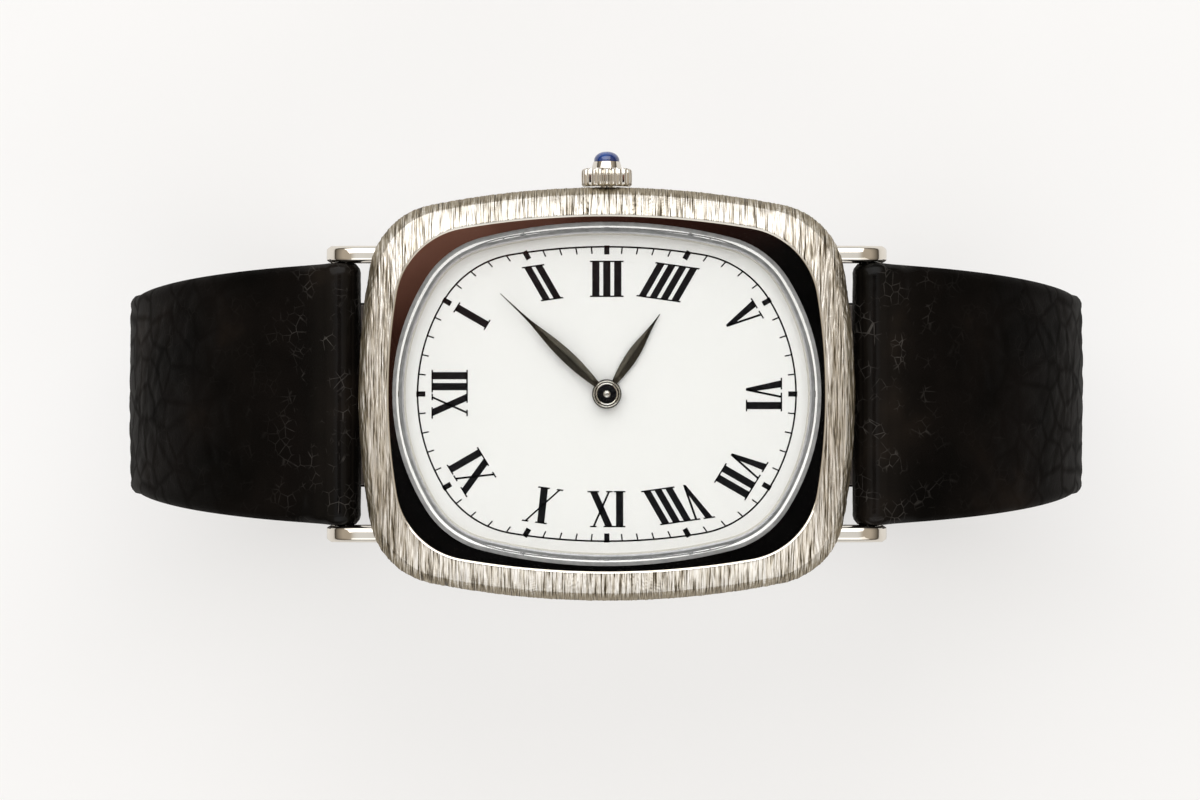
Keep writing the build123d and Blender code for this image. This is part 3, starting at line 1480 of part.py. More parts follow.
def keeper(middle_x):
    """Leather loop round both layers of the strap."""
    half = keeper_width / 2
    inner_y = strap_end_half_width + keeper_side_gap
    top = inner_layer_z + half_strap + keeper_gap
    bottom = base_z + keeper_thickness
    outer_y = inner_y + keeper_thickness
    body = block(middle_x - half, middle_x + half, -outer_y, outer_y, base_z, top + keeper_thickness)
    body = fillet(body.edges().filter_by(Axis.X), keeper_round)
    return body - block(middle_x - half - overrun, middle_x + half + overrun, -inner_y, inner_y, bottom, top)


def fixed_keeper():
    """Keeper sewn to the strap next to the buckle."""
    return keeper(fixed_keeper_x)


def floating_keeper():
    """Keeper that slides along the strap."""
    return keeper(floating_keeper_x)


nodes = {
    "bezel": bezel(),
    "crystal": crystal(),
    "crystal_gasket": crystal_gasket(),
    "dial_flange": dial_flange(),
    "dial": dial(),
    "case_middle": case_middle(),
    "case_back": case_back(),
    "movement_ring": movement_ring(),
    "case_clamps": case_clamps(),
    "movement_screws": movement_screws(),
    "main_plate": main_plate(),
    "barrel_bridge": barrel_bridge(),
    "train_bridge": train_bridge(),
    "balance_cock": balance_cock(),
    "pallet_bridge": pallet_bridge(),
    "jewels": jewels(),
    "barrel_drum": barrel_drum(),
    "barrel_cover": barrel_cover(),
    "mainspring": mainspring(),
    "barrel_arbor": barrel_arbor(),
    "ratchet_wheel": ratchet_wheel(),
    "ratchet_click": ratchet_click(),
    "crown_wheel": crown_wheel(),
    "centre_wheel": centre_wheel(),
    "third_wheel": third_wheel(),
    "fourth_wheel": fourth_wheel(),
    "escape_wheel": escape_wheel(),
    "pallet_fork": pallet_fork(),
    "balance_wheel": balance_wheel(),
    "balance_staff": balance_staff(),
    "hairspring": hairspring(),
    "cannon_pinion": cannon_pinion(),
    "minute_wheel": minute_wheel(),
    "hour_wheel": hour_wheel(),
    "setting_wheel": setting_wheel(),
    "hour_hand": hour_hand(),
    "minute_hand": minute_hand(),
    "winding_stem": winding_stem(),
    "winding_pinion": winding_pinion(),
    "sliding_pinion": sliding_pinion(),
    "setting_lever": setting_lever(),
    "yoke": yoke(),
    "crown": crown(),
    "crown_cabochon": crown_cabochon(),
    "crown_tube": crown_tube(),
    "spring_bars": spring_bars(),
    "spring_bar_tip_6_crown_side": spring_bar_tip(1, 1),
    "spring_bar_tip_6_plain_side": spring_bar_tip(1, -1),
    "spring_bar_tip_12_crown_side": spring_bar_tip(-1, 1),
    "spring_bar_tip_12_plain_side": spring_bar_tip(-1, -1),
    "strap_tip_half": strap_tip_half(),
    "strap_tip_lining": strap_tip_lining(),
    "strap_buckle_half": strap_buckle_half(),
    "strap_buckle_lining": strap_buckle_lining(),
    "buckle_frame": buckle_frame(),
    "buckle_bar": buckle_bar(),
    "buckle_tongue": buckle_tongue(),
    "fixed_keeper": fixed_keeper(),
    "floating_keeper": floating_keeper(),
}

os.makedirs("parts", exist_ok=True)
for name, shape in nodes.items():
    solids = shape if isinstance(shape, list) else [shape]
    whole = Compound(children=[solid for piece in solids for solid in piece.solids()])
    export_step(whole, f"parts/{name}.step")

print("half case", round(case_outline[0], 2), round(case_outline[1], 2), "plate", round(plate_radius, 3))
print("inner layer z", round(inner_layer_z, 3), "base z", round(base_z, 3))
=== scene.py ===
# %% [markdown]
# # A cushion case watch
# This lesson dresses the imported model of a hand-wound dress watch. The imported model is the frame: every
# solid of the real object already stands in its place, in metres, with the hands turning about Z, six
# o'clock along +X, the crown along +Y and the dial facing +Z. Each step makes one piece or one finish and
# sets it on the frame.

# %% Load the frame
import math

import bpy
import numpy as np
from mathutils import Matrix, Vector, noise


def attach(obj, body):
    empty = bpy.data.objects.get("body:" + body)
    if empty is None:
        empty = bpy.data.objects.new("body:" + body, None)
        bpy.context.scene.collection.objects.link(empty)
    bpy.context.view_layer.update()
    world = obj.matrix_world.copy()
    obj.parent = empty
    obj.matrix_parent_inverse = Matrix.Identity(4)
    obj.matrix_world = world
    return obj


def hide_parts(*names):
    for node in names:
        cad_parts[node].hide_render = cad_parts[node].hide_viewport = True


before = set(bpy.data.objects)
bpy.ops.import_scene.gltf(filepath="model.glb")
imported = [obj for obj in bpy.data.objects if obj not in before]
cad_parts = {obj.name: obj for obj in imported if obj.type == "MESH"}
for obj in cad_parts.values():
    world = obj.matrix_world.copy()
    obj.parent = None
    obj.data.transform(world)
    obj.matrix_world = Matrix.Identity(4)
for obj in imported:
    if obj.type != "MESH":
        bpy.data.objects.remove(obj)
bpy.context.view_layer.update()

# %% [markdown]
# ## Sizes
# A watch is measured in millimetres, so the lesson works in millimetres and turns them into metres when a
# mesh is laid out. The case is built from cushion outlines: four long shallow arcs joined by four tight
# corner arcs. Each outline is its half length, half width, end radius, side radius and corner radius.

# %% Sizes that the pieces share
MM = 0.001
SLACK = 1e-6
MERGE = 1e-7

CASE_OUTLINE = (16.146, 13.446, 46.0, 57.5, 5.0)
RING_OUTLINE = (14.186, 11.566, 39.4, 55.0, 5.25)
CRYSTAL_OUTLINE = (13.826, 11.096, 14.0, 32.5, 6.0)
TRACK_OUTLINE = (12.25, 9.53, 11.6, 37.5, 6.25)

DIAL_TOP = 4.25
BEZEL_FOOT = 3.3
LEDGE = 5.05
BEZEL_TOP = 5.75
STEM_HEIGHT = 2.75
print("case length", round(2 * CASE_OUTLINE[0], 1), "and width", round(2 * CASE_OUTLINE[1], 1), "mm")

# %% [markdown]
# ## Helpers for modelling
# Blender's operators act on whatever is selected, so each piece starts from nothing selected. One primitive
# carries most of this watch: a grid. Rolled up one way and closed at its ends it is a tube, which suits the
# strap and the hands. Rolled up both ways it is a ring with a closed section, which suits the mouldings
# round the dial. A torus would do for a ring too, but it has at most 256 segments, and the engraving needs
# many more.

# %% Select, change, lay out
def deselect():
    """Leaves edit mode with nothing selected."""
    if bpy.context.mode != "OBJECT":
        bpy.ops.object.mode_set(mode="OBJECT")
    bpy.ops.object.select_all(action="DESELECT")


def pick(piece):
    """Selects one piece and makes it the active one."""
    deselect()
    piece.select_set(True)
    bpy.context.view_layer.objects.active = piece


def edit_merged(piece, merge=MERGE):
    """Opens a piece in edit mode with everything selected and its doubled points merged."""
    pick(piece)
    bpy.ops.object.mode_set(mode="EDIT")
    bpy.ops.mesh.select_all(action="SELECT")
    bpy.ops.mesh.remove_doubles(threshold=merge)


def modify(piece, kind, **settings):
    """Adds a modifier with its settings and applies it."""
    pick(piece)
    modifier = piece.modifiers.new(kind.lower(), kind)
    for setting, value in settings.items():
        setattr(modifier, setting, value)
    bpy.ops.object.modifier_apply(modifier=modifier.name)


def heal(piece, smooth_angle, merge=MERGE):
    """Merges doubles, turns the faces outward and smooths the shading below an angle in degrees."""
    edit_merged(piece, merge)
    bpy.ops.mesh.normals_make_consistent(inside=False)
    bpy.ops.object.mode_set(mode="OBJECT")
    bpy.ops.object.shade_smooth_by_angle(angle=math.radians(smooth_angle))


def lay_out(piece, points):
    """Moves a mesh's points to places given in millimetres."""
    places = np.asarray(points, dtype=float).reshape(-1, 3) * MM
    piece.data.vertices.foreach_set("co", places.ravel())
    piece.data.update()


def dress(piece, finish, body, node=None):
    """Gives a piece its finish in a new slot and its body, and hides the solid that it stands for, where it
    has one.
    """
    piece.data.materials.append(finish)
    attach(piece, body)
    if node:
        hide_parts(node)
    print(piece.name, "on", body, "has faces", len(piece.data.polygons))


# %% Roll up a grid
def rolled_grid(name, stations, rows_closed):
    """A grid laid on stations[k][j], rolled up along j, and along k too where the rows are closed."""
    sheet = np.concatenate([stations, stations[:, :1]], axis=1)
    if rows_closed:
        sheet = np.concatenate([sheet, sheet[:1]], axis=0)
    rows, columns = sheet.shape[:2]
    deselect()
    bpy.ops.mesh.primitive_grid_add(x_subdivisions=columns - 1, y_subdivisions=rows - 1, size=1.0)
    piece = bpy.context.object
    piece.name = piece.data.name = name
    lay_out(piece, sheet)
    return piece


def ring_piece(name, stations, smooth_angle):
    """A closed ring: stations[k][j] is point j of the profile at place k along the outline."""
    piece = rolled_grid(name, np.asarray(stations, dtype=float), True)
    heal(piece, smooth_angle)
    return piece


def tube_piece(name, rings, smooth_angle, uv=None):
    """A tube closed at both ends: rings[i][j] is point j of ring i, and uv[i][j] its place on a chart."""
    piece = rolled_grid(name, np.asarray(rings, dtype=float), False)
    if uv is not None:
        chart = np.concatenate([uv, uv[:, :1]], axis=1).reshape(-1, 2)
        corners = np.empty(len(piece.data.loops), dtype=int)
        piece.data.loops.foreach_get("vertex_index", corners)
        layer = piece.data.uv_layers.active or piece.data.uv_layers.new(name="along_the_strap")
        layer.data.foreach_set("uv", chart[corners].ravel())
    edit_merged(piece)
    bpy.ops.mesh.select_all(action="DESELECT")
    bpy.ops.mesh.select_non_manifold(extend=False)
    bpy.ops.mesh.edge_face_add()
    heal(piece, smooth_angle)
    return piece


# %% Cushion outline at any direction
def cushion_radius(outline, inset, turn):
    """Distance from the middle to a cushion outline, moved inwards by the inset, in one direction."""
    half_x, half_y, end_radius, side_radius, corner_radius = (size - inset for size in outline)
    end_x, side_y = half_x - end_radius, half_y - side_radius
    reach_end, reach_side = end_radius - corner_radius, side_radius - corner_radius
    span = math.hypot(end_x, side_y)
    along = (reach_end**2 - reach_side**2 + span**2) / (2 * span)
    across = math.sqrt(reach_end**2 - along**2)
    ux, uy = -end_x / span, side_y / span
    corners = [(end_x + ux * along - uy * across * way, uy * along + ux * across * way) for way in (1, -1)]
    cx, cy = max(corners, key=sum)
    end_turn, side_turn = math.atan2(cy, cx - end_x), math.atan2(cy - side_y, cx)
    end_limit = math.atan2(end_radius * math.sin(end_turn), end_x + end_radius * math.cos(end_turn))
    side_limit = math.atan2(side_y + side_radius * math.sin(side_turn), side_radius * math.cos(side_turn))
    dx, dy = abs(math.cos(turn)), abs(math.sin(turn))
    direction = math.atan2(dy, dx)
    if direction <= end_limit:
        middle, radius = (end_x, 0.0), end_radius
    elif direction >= side_limit:
        middle, radius = (0.0, side_y), side_radius
    else:
        middle, radius = (cx, cy), corner_radius
    toward = dx * middle[0] + dy * middle[1]
    return toward + math.sqrt(toward**2 - middle[0] ** 2 - middle[1] ** 2 + radius**2)


def turns(count):
    """Evenly spaced angles round a full circle."""
    return [2 * math.pi * k / count for k in range(count)]


def cushion_stations(profile, count):
    """Stations of a moulding: each profile point is an outline, an inset and a height."""
    stations = []
    for turn in turns(count):
        radii = [cushion_radius(outline, inset, turn) for outline, inset, _ in profile]
        stations.append([(radius * math.cos(turn), radius * math.sin(turn), height)
                         for radius, (_, _, height) in zip(radii, profile)])
    return stations


print("case corner radius", round(cushion_radius(CASE_OUTLINE, 0, math.radians(40)), 3), "mm")

# %% [markdown]
# ## Helpers for materials
# Colours are written as the hex values that a screen shows, and one function turns them into the linear
# values that the shader works with. Most finishes are one noise with a real feature size, which tints the
# colour, spreads the gloss and lifts a very low relief. One function makes a material of that kind.

# %% Colour and node helpers
def linear(colour):
    """An sRGB hex colour as linear RGBA."""
    parts = [int(colour[i : i + 2], 16) / 255 for i in (1, 3, 5)]
    return [p / 12.92 if p <= 0.04045 else ((p + 0.055) / 1.055) ** 2.4 for p in parts] + [1.0]


def add(owner, kind, links=None, **settings):
    """Adds a shader node. Settings name its attributes, or its inputs with the spaces as underscores."""
    node = owner.node_tree.nodes.new(kind)
    for setting, value in settings.items():
        if hasattr(node, setting):
            setattr(node, setting, value)
        else:
            node.inputs[setting.replace("_", " ")].default_value = value
    for target, source in (links or {}).items():
        owner.node_tree.links.new(source, node.inputs[target])
    return node


def plug(owner, source, target):
    """Links an output to an input."""
    owner.node_tree.links.new(source, target)


def ramp(owner, source, stops):
    """A colour ramp over a value. Stops are places with hex colours."""
    node = add(owner, "ShaderNodeValToRGB", {0: source})
    scale = node.color_ramp.elements
    while len(scale) < len(stops):
        scale.new(0.5)
    for stop, (place, colour) in zip(scale, stops):
        stop.position, stop.color = place, linear(colour)
    return node.outputs[0]


def band(owner, source, given, out):
    """Maps a value from the given range to another one."""
    node = add(owner, "ShaderNodeMapRange", {"Value": source}, From_Min=given[0], From_Max=given[1],
               To_Min=out[0], To_Max=out[1])
    return node.outputs[0]


def maths(owner, operation, first, second):
    """A sum, difference or product of a value with another one or with a number."""
    node = add(owner, "ShaderNodeMath", {0: first}, operation=operation)
    if isinstance(second, float):
        node.inputs[1].default_value = second
    else:
        plug(owner, second, node.inputs[1])
    return node.outputs[0]


def multiplied(owner, first, second, factor):
    """One colour multiplied by another, by a factor from nought to one."""
    node = add(owner, "ShaderNodeMix", {6: first, 7: second}, data_type="RGBA", blend_type="MULTIPLY",
               Factor=factor)
    return node.outputs[2]


def per_metre(size):
    """The scale of a pattern on coordinates in metres whose features are this many millimetres wide."""
    return 1 / (size * MM)


# %% Patterns and finishes
def coordinates(material):
    """The piece's own coordinates, in metres."""
    return add(material, "ShaderNodeTexCoord").outputs["Object"]


def grain(material, size, detail, **settings):
    """A noise with features of a real size: one number, or a width, length and height in millimetres."""
    place, scale = coordinates(material), 1.0
    if isinstance(size, tuple):
        stretch = tuple(per_metre(side) for side in size)
        place = add(material, "ShaderNodeMapping", {"Vector": place}, Scale=stretch).outputs[0]
    else:
        scale = per_metre(size)
    node = add(material, "ShaderNodeTexNoise", {"Vector": place}, Scale=scale, Detail=detail, **settings)
    return node.outputs["Fac"]


def principled(material):
    """The material's own shader."""
    return material.node_tree.nodes["Principled BSDF"]


def colour(material, source):
    """Links a colour to the shader."""
    plug(material, source, principled(material).inputs["Base Color"])


def gloss(material, source, low, high):
    """Links a pattern to the shader's roughness, between two values."""
    plug(material, band(material, source, (0.0, 1.0), (low, high)), principled(material).inputs["Roughness"])


def relief(material, source, strength, depth, under=None):
    """Links a pattern to the shader as a bump of a depth in millimetres, over another bump if given."""
    links = {"Height": source, "Normal": under} if under else {"Height": source}
    bump = add(material, "ShaderNodeBump", links, Strength=strength, Distance=depth * MM).outputs[0]
    plug(material, bump, principled(material).inputs["Normal"])
    return bump


def surface(material, source):
    """Links another shader in front of the Principled one."""
    plug(material, source, material.node_tree.nodes["Material Output"].inputs["Surface"])


def new_material(name, **settings):
    """A material with a Principled shader set on its own sockets."""
    material = bpy.data.materials.new(name)
    material.use_nodes = True
    for setting, value in settings.items():
        principled(material).inputs[setting.replace("_", " ")].default_value = value
    print("material", name)
    return material


def grained(name, pattern, stops, rough=None, bump=None, **settings):
    """A material after one pattern: its colour stops, its range of roughness, its bump's strength and depth.

    The pattern is a function of the material, or a noise given by its size and its detail.
    """
    material = new_material(name, **settings)
    source = grain(material, *pattern) if isinstance(pattern, tuple) else pattern(material)
    colour(material, ramp(material, source, stops))
    if rough:
        gloss(material, source, *rough)
    if bump:
        relief(material, source, *bump)
    return material


# %% [markdown]
# ## White gold, engraved like bark
# The bezel is 18 carat white gold. Its broad ring was cut by hand with a graver into thousands of short
# strokes that all run the same way, from three o'clock towards nine, so it glitters in streaks like tree
# bark. The larger strokes are cut into the mesh itself. The material adds the finest strokes as a bump and
# leaves a little dark patina in their hollows. It also paints shade wherever the surface faces less upward,
# on the steep shoulder and on the steep sides of the cuts, so the ring looks bright on top and warm grey
# below.

# %% Bark-engraved white gold
BARK_STROKE, BARK_LENGTH = 0.075, 2.2

bark_gold = new_material("white_gold_bark_engraved", Metallic=1.0)
strokes = grain(bark_gold, (BARK_STROKE, BARK_LENGTH, BARK_LENGTH), 3.0, Roughness=0.6)
patches = grain(bark_gold, (BARK_STROKE * 4, BARK_LENGTH * 2, BARK_LENGTH * 2), 2.0)
tone = ramp(bark_gold, strokes, ((0.38, "#635B4D"), (0.46, "#D3CCBF"), (0.53, "#FCFAF6")))
cloud = ramp(bark_gold, patches, ((0.35, "#E6E0D4"), (0.65, "#FFFFFF")))
# Painted shade: the colour darkens wherever the surface faces less upward, on the steep shoulder and on the
# steep sides of the cuts.
facing = add(bark_gold, "ShaderNodeNewGeometry").outputs["Normal"]
upward = add(bark_gold, "ShaderNodeSeparateXYZ", {"Vector": facing}).outputs["Z"]
ragged = maths(bark_gold, "ADD", upward, band(bark_gold, strokes, (0.3, 0.7), (-0.3, 0.3)))
painted_slope_shade = ramp(bark_gold, ragged, ((0.5, "#A49C8A"), (0.8, "#FFFFFF")))
colour(bark_gold, multiplied(bark_gold, multiplied(bark_gold, tone, cloud, 0.6), painted_slope_shade, 1.0))
gloss(bark_gold, patches, 0.3, 0.5)
relief(bark_gold, strokes, 1.0, 0.035)

# %% [markdown]
# ## Polished and satin white gold
# The inner ring, the lugs and the crown are buffed to a mirror. A real mirror finish still carries hairline
# scratches and a breath of haze, so the roughness wanders a little and a very faint bump bends the
# reflections. The case back is brushed, not buffed. The brush leaves straight fine lines, which spread the
# light across them.

# %% Polished and satin white gold
HAIRLINE = (0.08, 1.5, 0.16)
BRUSH_LINE = (6.0, 0.1, 0.1)

polished_gold = grained("white_gold_polished", (3.0, 4.0), ((0.3, "#D6D1C8"), (0.7, "#E6E2DA")), (0.02, 0.07),
                        Metallic=1.0)
relief(polished_gold, grain(polished_gold, HAIRLINE, 2.0), 0.04, 0.005)
satin_gold = grained("white_gold_satin", (BRUSH_LINE, 3.0), ((0.35, "#BDB7AC"), (0.65, "#DEDAD1")),
                     (0.24, 0.42), (0.3, 0.01), Metallic=1.0)

# %% [markdown]
# ## The engraved bezel ring
# Seen from the side the ring rises from a low upright wall over a steep shoulder to a gently domed top, and
# ends where a narrow polished line begins the mirror ring. It could be swept along the outline with a
# curve, but a grid whose points are laid out one by one lets every stroke of the graver be cut into it
# afterwards.

# %% Profile of the engraved ring
def dome(start, end, bulge, steps):
    """Points between two places, raised by a bulge in the middle. A place is a share inwards and a height."""
    places = []
    for step in range(steps + 1):
        share = step / steps
        rise = bulge * math.sin(math.pi * share)
        places.append((start[0] + (end[0] - start[0]) * share, start[1] + (end[1] - start[1]) * share + rise))
    return places


def between(share, height):
    """A profile point part of the way from the case outline to the ring outline."""
    outline = tuple(a + (b - a) * share for a, b in zip(CASE_OUTLINE, RING_OUTLINE))
    return (outline, 0.0, height)


RING_STATIONS = 1500
WALL = (BEZEL_FOOT + 0.02, 3.5, 3.7)
WALL_TOP = 3.95
SHOULDER = (0.28, 5.02)
SHOULDER_BULGE, TOP_BULGE = 0.07, 0.03
SHOULDER_STEPS, TOP_STEPS = 12, 34

places = [(0.0, height) for height in WALL]
places += dome((0.0, WALL_TOP), SHOULDER, SHOULDER_BULGE, SHOULDER_STEPS)
places += dome(SHOULDER, (1.0, BEZEL_TOP - 0.01), TOP_BULGE, TOP_STEPS)[1:]
engraved_points = len(places)
profile = [between(share, height) for share, height in places]
profile += [(RING_OUTLINE, 0.02, BEZEL_TOP - 0.05), (RING_OUTLINE, 0.05, BEZEL_FOOT + 0.3)]
profile += [(CASE_OUTLINE, 0.5, BEZEL_FOOT + 0.02)]
stations = np.array(cushion_stations(profile, RING_STATIONS))
print("profile points", len(profile), "of which engraved", engraved_points)

# %% Cut the strokes
CUT_DEPTH, CUT_WIDTH, CUT_LENGTH = 0.037, 0.15, 2.2
SHOULDER_HEIGHT = 4.6
LONG_SHARE, SHORT_SHARE = 0.3, 0.4
SHORT_FINER, SHORT_SHORTER, SHORT_DEPTH = 2.1, 2.2, 0.4
SHORT_SHIFT, SHORT_LAYER, ROUGH_LAYER = 40, 7.0, 3.0
ROUGH_DEPTH, ROUGH_WIDTH, ROUGH_LENGTH = 0.012, 0.35, 0.6
FADE_POINTS = 2


def stroke_depth(place, lean):
    """How deep the graver went here: long cuts that wander along Y, with shorter ones between them."""
    side = place[0] + (place[2] - SHOULDER_HEIGHT) * lean
    long_cut = noise.noise(Vector((side / CUT_WIDTH, place[1] / CUT_LENGTH, 0.0)))
    short_side, short_along = side / CUT_WIDTH * SHORT_FINER, place[1] / CUT_LENGTH * SHORT_SHORTER
    short_cut = noise.noise(Vector((short_side + SHORT_SHIFT, short_along, SHORT_LAYER)))
    deep = max(0.0, 1 - abs(long_cut) / LONG_SHARE)
    shallow = max(0.0, 1 - abs(short_cut) / SHORT_SHARE)
    rough = noise.noise(Vector((side / ROUGH_WIDTH, place[1] / ROUGH_LENGTH, ROUGH_LAYER)))
    return CUT_DEPTH * (deep + SHORT_DEPTH * shallow) + ROUGH_DEPTH * rough


around = np.roll(stations, -1, axis=0) - np.roll(stations, 1, axis=0)
upwards = np.roll(stations, -1, axis=1) - np.roll(stations, 1, axis=1)
outward = np.cross(around, upwards)
outward /= np.linalg.norm(outward, axis=2, keepdims=True) + SLACK
for k in range(RING_STATIONS):
    for j in range(1, engraved_points):
        fade = min(1.0, (engraved_points - 1 - j) / FADE_POINTS)
        stations[k, j] -= outward[k, j] * (stroke_depth(stations[k, j], outward[k, j, 0]) * fade)
bezel_ring = ring_piece("bezel_engraved_ring", stations, smooth_angle=60)
dress(bezel_ring, bark_gold, "case", "bezel")

# %% [markdown]
# ## The mirror ring and the crystal's seat
# Inside the engraving lies a flat ring, buffed like a mirror, wide at the corners and narrow at the middle
# of the sides, because its two outlines differ. A bright line runs where it meets the engraving. Its inner
# edge drops to the ledge on which the crystal sits, and that ledge shows through the crystal's bevel as a
# rounded silver band.

# %% Mirror ring
MIRROR_HEIGHT = 5.63
MOULDING_STATIONS = 480
MOULDING_SMOOTH = 22

profile = [
    (RING_OUTLINE, 0.01, BEZEL_FOOT + 0.3),
    (RING_OUTLINE, -0.02, BEZEL_TOP - 0.03),
    (RING_OUTLINE, -0.01, BEZEL_TOP),
    (RING_OUTLINE, 0.07, BEZEL_TOP - 0.02),
    (RING_OUTLINE, 0.1, MIRROR_HEIGHT),
    (RING_OUTLINE, 0.11, MIRROR_HEIGHT),
    (CRYSTAL_OUTLINE, 0.02, MIRROR_HEIGHT),
    (CRYSTAL_OUTLINE, -0.01, MIRROR_HEIGHT - 0.03),
    (CRYSTAL_OUTLINE, -0.02, LEDGE - 0.3),
    (CRYSTAL_OUTLINE, -0.02, BEZEL_FOOT + 0.3),
]
mirror_ring = ring_piece("bezel_mirror_ring", cushion_stations(profile, MOULDING_STATIONS), MOULDING_SMOOTH)
dress(mirror_ring, polished_gold, "case")

# %% Silvered rim under the crystal
SEAT_SECTION = ((0.0, -0.3), (0.0, 0.0), (0.16, 0.075), (0.28, 0.12), (0.34, 0.135), (0.4, 0.12),
                (0.44, 0.06), (0.46, -0.02), (0.62, -0.04), (0.7, -0.1), (0.7, -0.3))

silvered = grained("silvered_rim", (0.4, 3.0), ((0.3, "#C4C4C6"), (0.7, "#D6D6D8")), (0.24, 0.36),
                   Metallic=0.45)
profile = [(CRYSTAL_OUTLINE, inset, LEDGE + rise) for inset, rise in SEAT_SECTION]
seat_ring = ring_piece("crystal_seat_ring", cushion_stations(profile, MOULDING_STATIONS), MOULDING_SMOOTH)
dress(seat_ring, silvered, "case")

# %% [markdown]
# ## Crystal
# The crystal is a flat sapphire plate with a ground bevel round its edge. Lamps have to reach the dial
# through it, so for shadow rays the glass is swapped for a clear shader. Rubbed dust shows as a faint
# change in gloss.

# %% Sapphire crystal
crystal_clear = new_material("sapphire_crystal", Base_Color=linear("#FBFCFD"), IOR=1.77,
                             Transmission_Weight=1.0)
gloss(crystal_clear, grain(crystal_clear, 4.0, 5.0), 0.0, 0.012)
glass = principled(crystal_clear).outputs[0]
shadow = add(crystal_clear, "ShaderNodeLightPath").outputs["Is Shadow Ray"]
open_air = add(crystal_clear, "ShaderNodeBsdfTransparent").outputs[0]
either = add(crystal_clear, "ShaderNodeMixShader", {0: shadow, 1: glass, 2: open_air})
surface(crystal_clear, either.outputs[0])

# %% [markdown]
# ## Dial
# The dial is a brass plate under many coats of white lacquer, rubbed flat. It has a soft, even gloss with a
# very fine grain. The printing stands on it as a thin film of black ink, a hundredth of a millimetre high.

# %% White lacquer and black printing ink
dial_white = grained("white_lacquer", (0.06, 2.0), ((0.2, "#F0F0EC"), (0.8, "#F7F7F4")), bump=(0.05, 0.004),
                     Roughness=0.42, Coat_Weight=0.25, Coat_Roughness=0.12)
ink_black = grained("pad_printed_ink", (0.05, 3.0), ((0.3, "#060607"), (0.7, "#0C0C0E")), (0.15, 0.3),
                    Specular_IOR_Level=0.3)

# %% [markdown]
# ## Numerals
# The hours are Roman numerals with their tops outward. On a cushion dial they aren't simply turned: each
# one is squeezed between two curves that follow the minute track, its strokes point at the centre and its
# serifs run along the track. So a numeral is drawn in its own coordinates, across and outward, and each
# stroke is one plane whose four corners are then moved to the dial. Thick strokes lean one way and thin
# ones the other, as a broad pen draws them.

# %% Strokes of the letters I, V and X
STEM, HAIR = 0.47, 0.14
SERIF_REACH, SERIF_LOW = 0.14, 0.04
SERIF_HIGH = 1 - SERIF_LOW
V_HALF, V_FOOT, V_NOTCH, V_REACH = 0.55, 0.02, 0.12, 0.45
X_HALF = 0.52


def bar(low, high, bottom, top):
    """A stroke between two sides, as four corners."""
    return ((low, bottom), (high, bottom), (high, top), (low, top))


def leaning(foot, head, weight):
    """A stroke that leans from its foot to its head."""
    half = weight / 2
    return ((foot - half, 0), (foot + half, 0), (head + half, 1), (head - half, 1))


def letter_i(x):
    """One upright stroke."""
    return [leaning(x, x, STEM)]


def letter_v(x):
    """A thick stroke on the left, a thin one on the right and a serif on each."""
    left, right = x - V_HALF, x + V_HALF
    thick = ((x - V_FOOT, 0), (x + STEM * V_REACH, V_NOTCH), (left + STEM, 1), (left, 1))
    thin = ((x, 0), (x + HAIR, 0), (right + HAIR / 2, 1), (right - HAIR / 2, 1))
    return [thick, thin, bar(left - SERIF_REACH, left + STEM + SERIF_REACH, SERIF_HIGH, 1),
            bar(right - SERIF_REACH * 2, right + SERIF_REACH * 2, SERIF_HIGH, 1)]


def letter_x(x):
    """A thick stroke falling to the right, a thin one rising to the right and four serifs."""
    left, right = x - X_HALF, x + X_HALF
    strokes = [leaning(right, left, STEM), leaning(left, right, HAIR)]
    for middle, weight, bottom, top in ((left, HAIR, 0, SERIF_LOW), (right, STEM, 0, SERIF_LOW),
                                        (left, STEM, SERIF_HIGH, 1), (right, HAIR, SERIF_HIGH, 1)):
        reach = weight / 2 + SERIF_REACH
        strokes.append(bar(middle - reach, middle + reach, bottom, top))
    return strokes


LETTERS = {"I": (0.71, letter_i), "V": (1.5, letter_v), "X": (1.66, letter_x)}


def numeral_strokes(word):
    """All strokes of a numeral, centred, with one serif bar along each run of I."""
    x = -sum(LETTERS[letter][0] for letter in word) / 2
    strokes, run = [], []
    for letter in word + " ":
        if letter == "I":
            run.append(x + LETTERS["I"][0] / 2)
        elif run:
            low, high = run[0] - STEM / 2 - SERIF_REACH, run[-1] + STEM / 2 + SERIF_REACH
            strokes += [bar(low, high, 0, SERIF_LOW), bar(low, high, SERIF_HIGH, 1)]
            run = []
        if letter != " ":
            width, draw = LETTERS[letter]
            strokes += draw(x + width / 2)
            x += width
    return strokes


# %% Lay the strokes on the dial
NUMERAL_OUTER, NUMERAL_INNER = 0.9, 3.25
NUMERALS = ("XII", "I", "II", "III", "IIII", "V", "VI", "VII", "VIII", "IX", "X", "XI")
NUMERAL_SHIFT = {"IIII": -0.2, "VIII": -0.5}
INK_HEIGHT = 0.012
INK_MERGE = 1e-9


def dial_point(clock_angle, inset):
    """A place on the dial at a clock angle, inside the minute track by the inset."""
    turn = math.pi - math.radians(clock_angle)
    radius = cushion_radius(TRACK_OUTLINE, inset, turn)
    return Vector((radius * math.cos(turn), radius * math.sin(turn), 0))


def facing_up(corners):
    """The flat places of four corners, in the order that turns the face upwards."""
    quad = [(p.x, p.y) for p in corners]
    area = sum(a[0] * b[1] - b[0] * a[1] for a, b in zip(quad, quad[1:] + quad[:1]))
    return quad if area > 0 else quad[::-1]


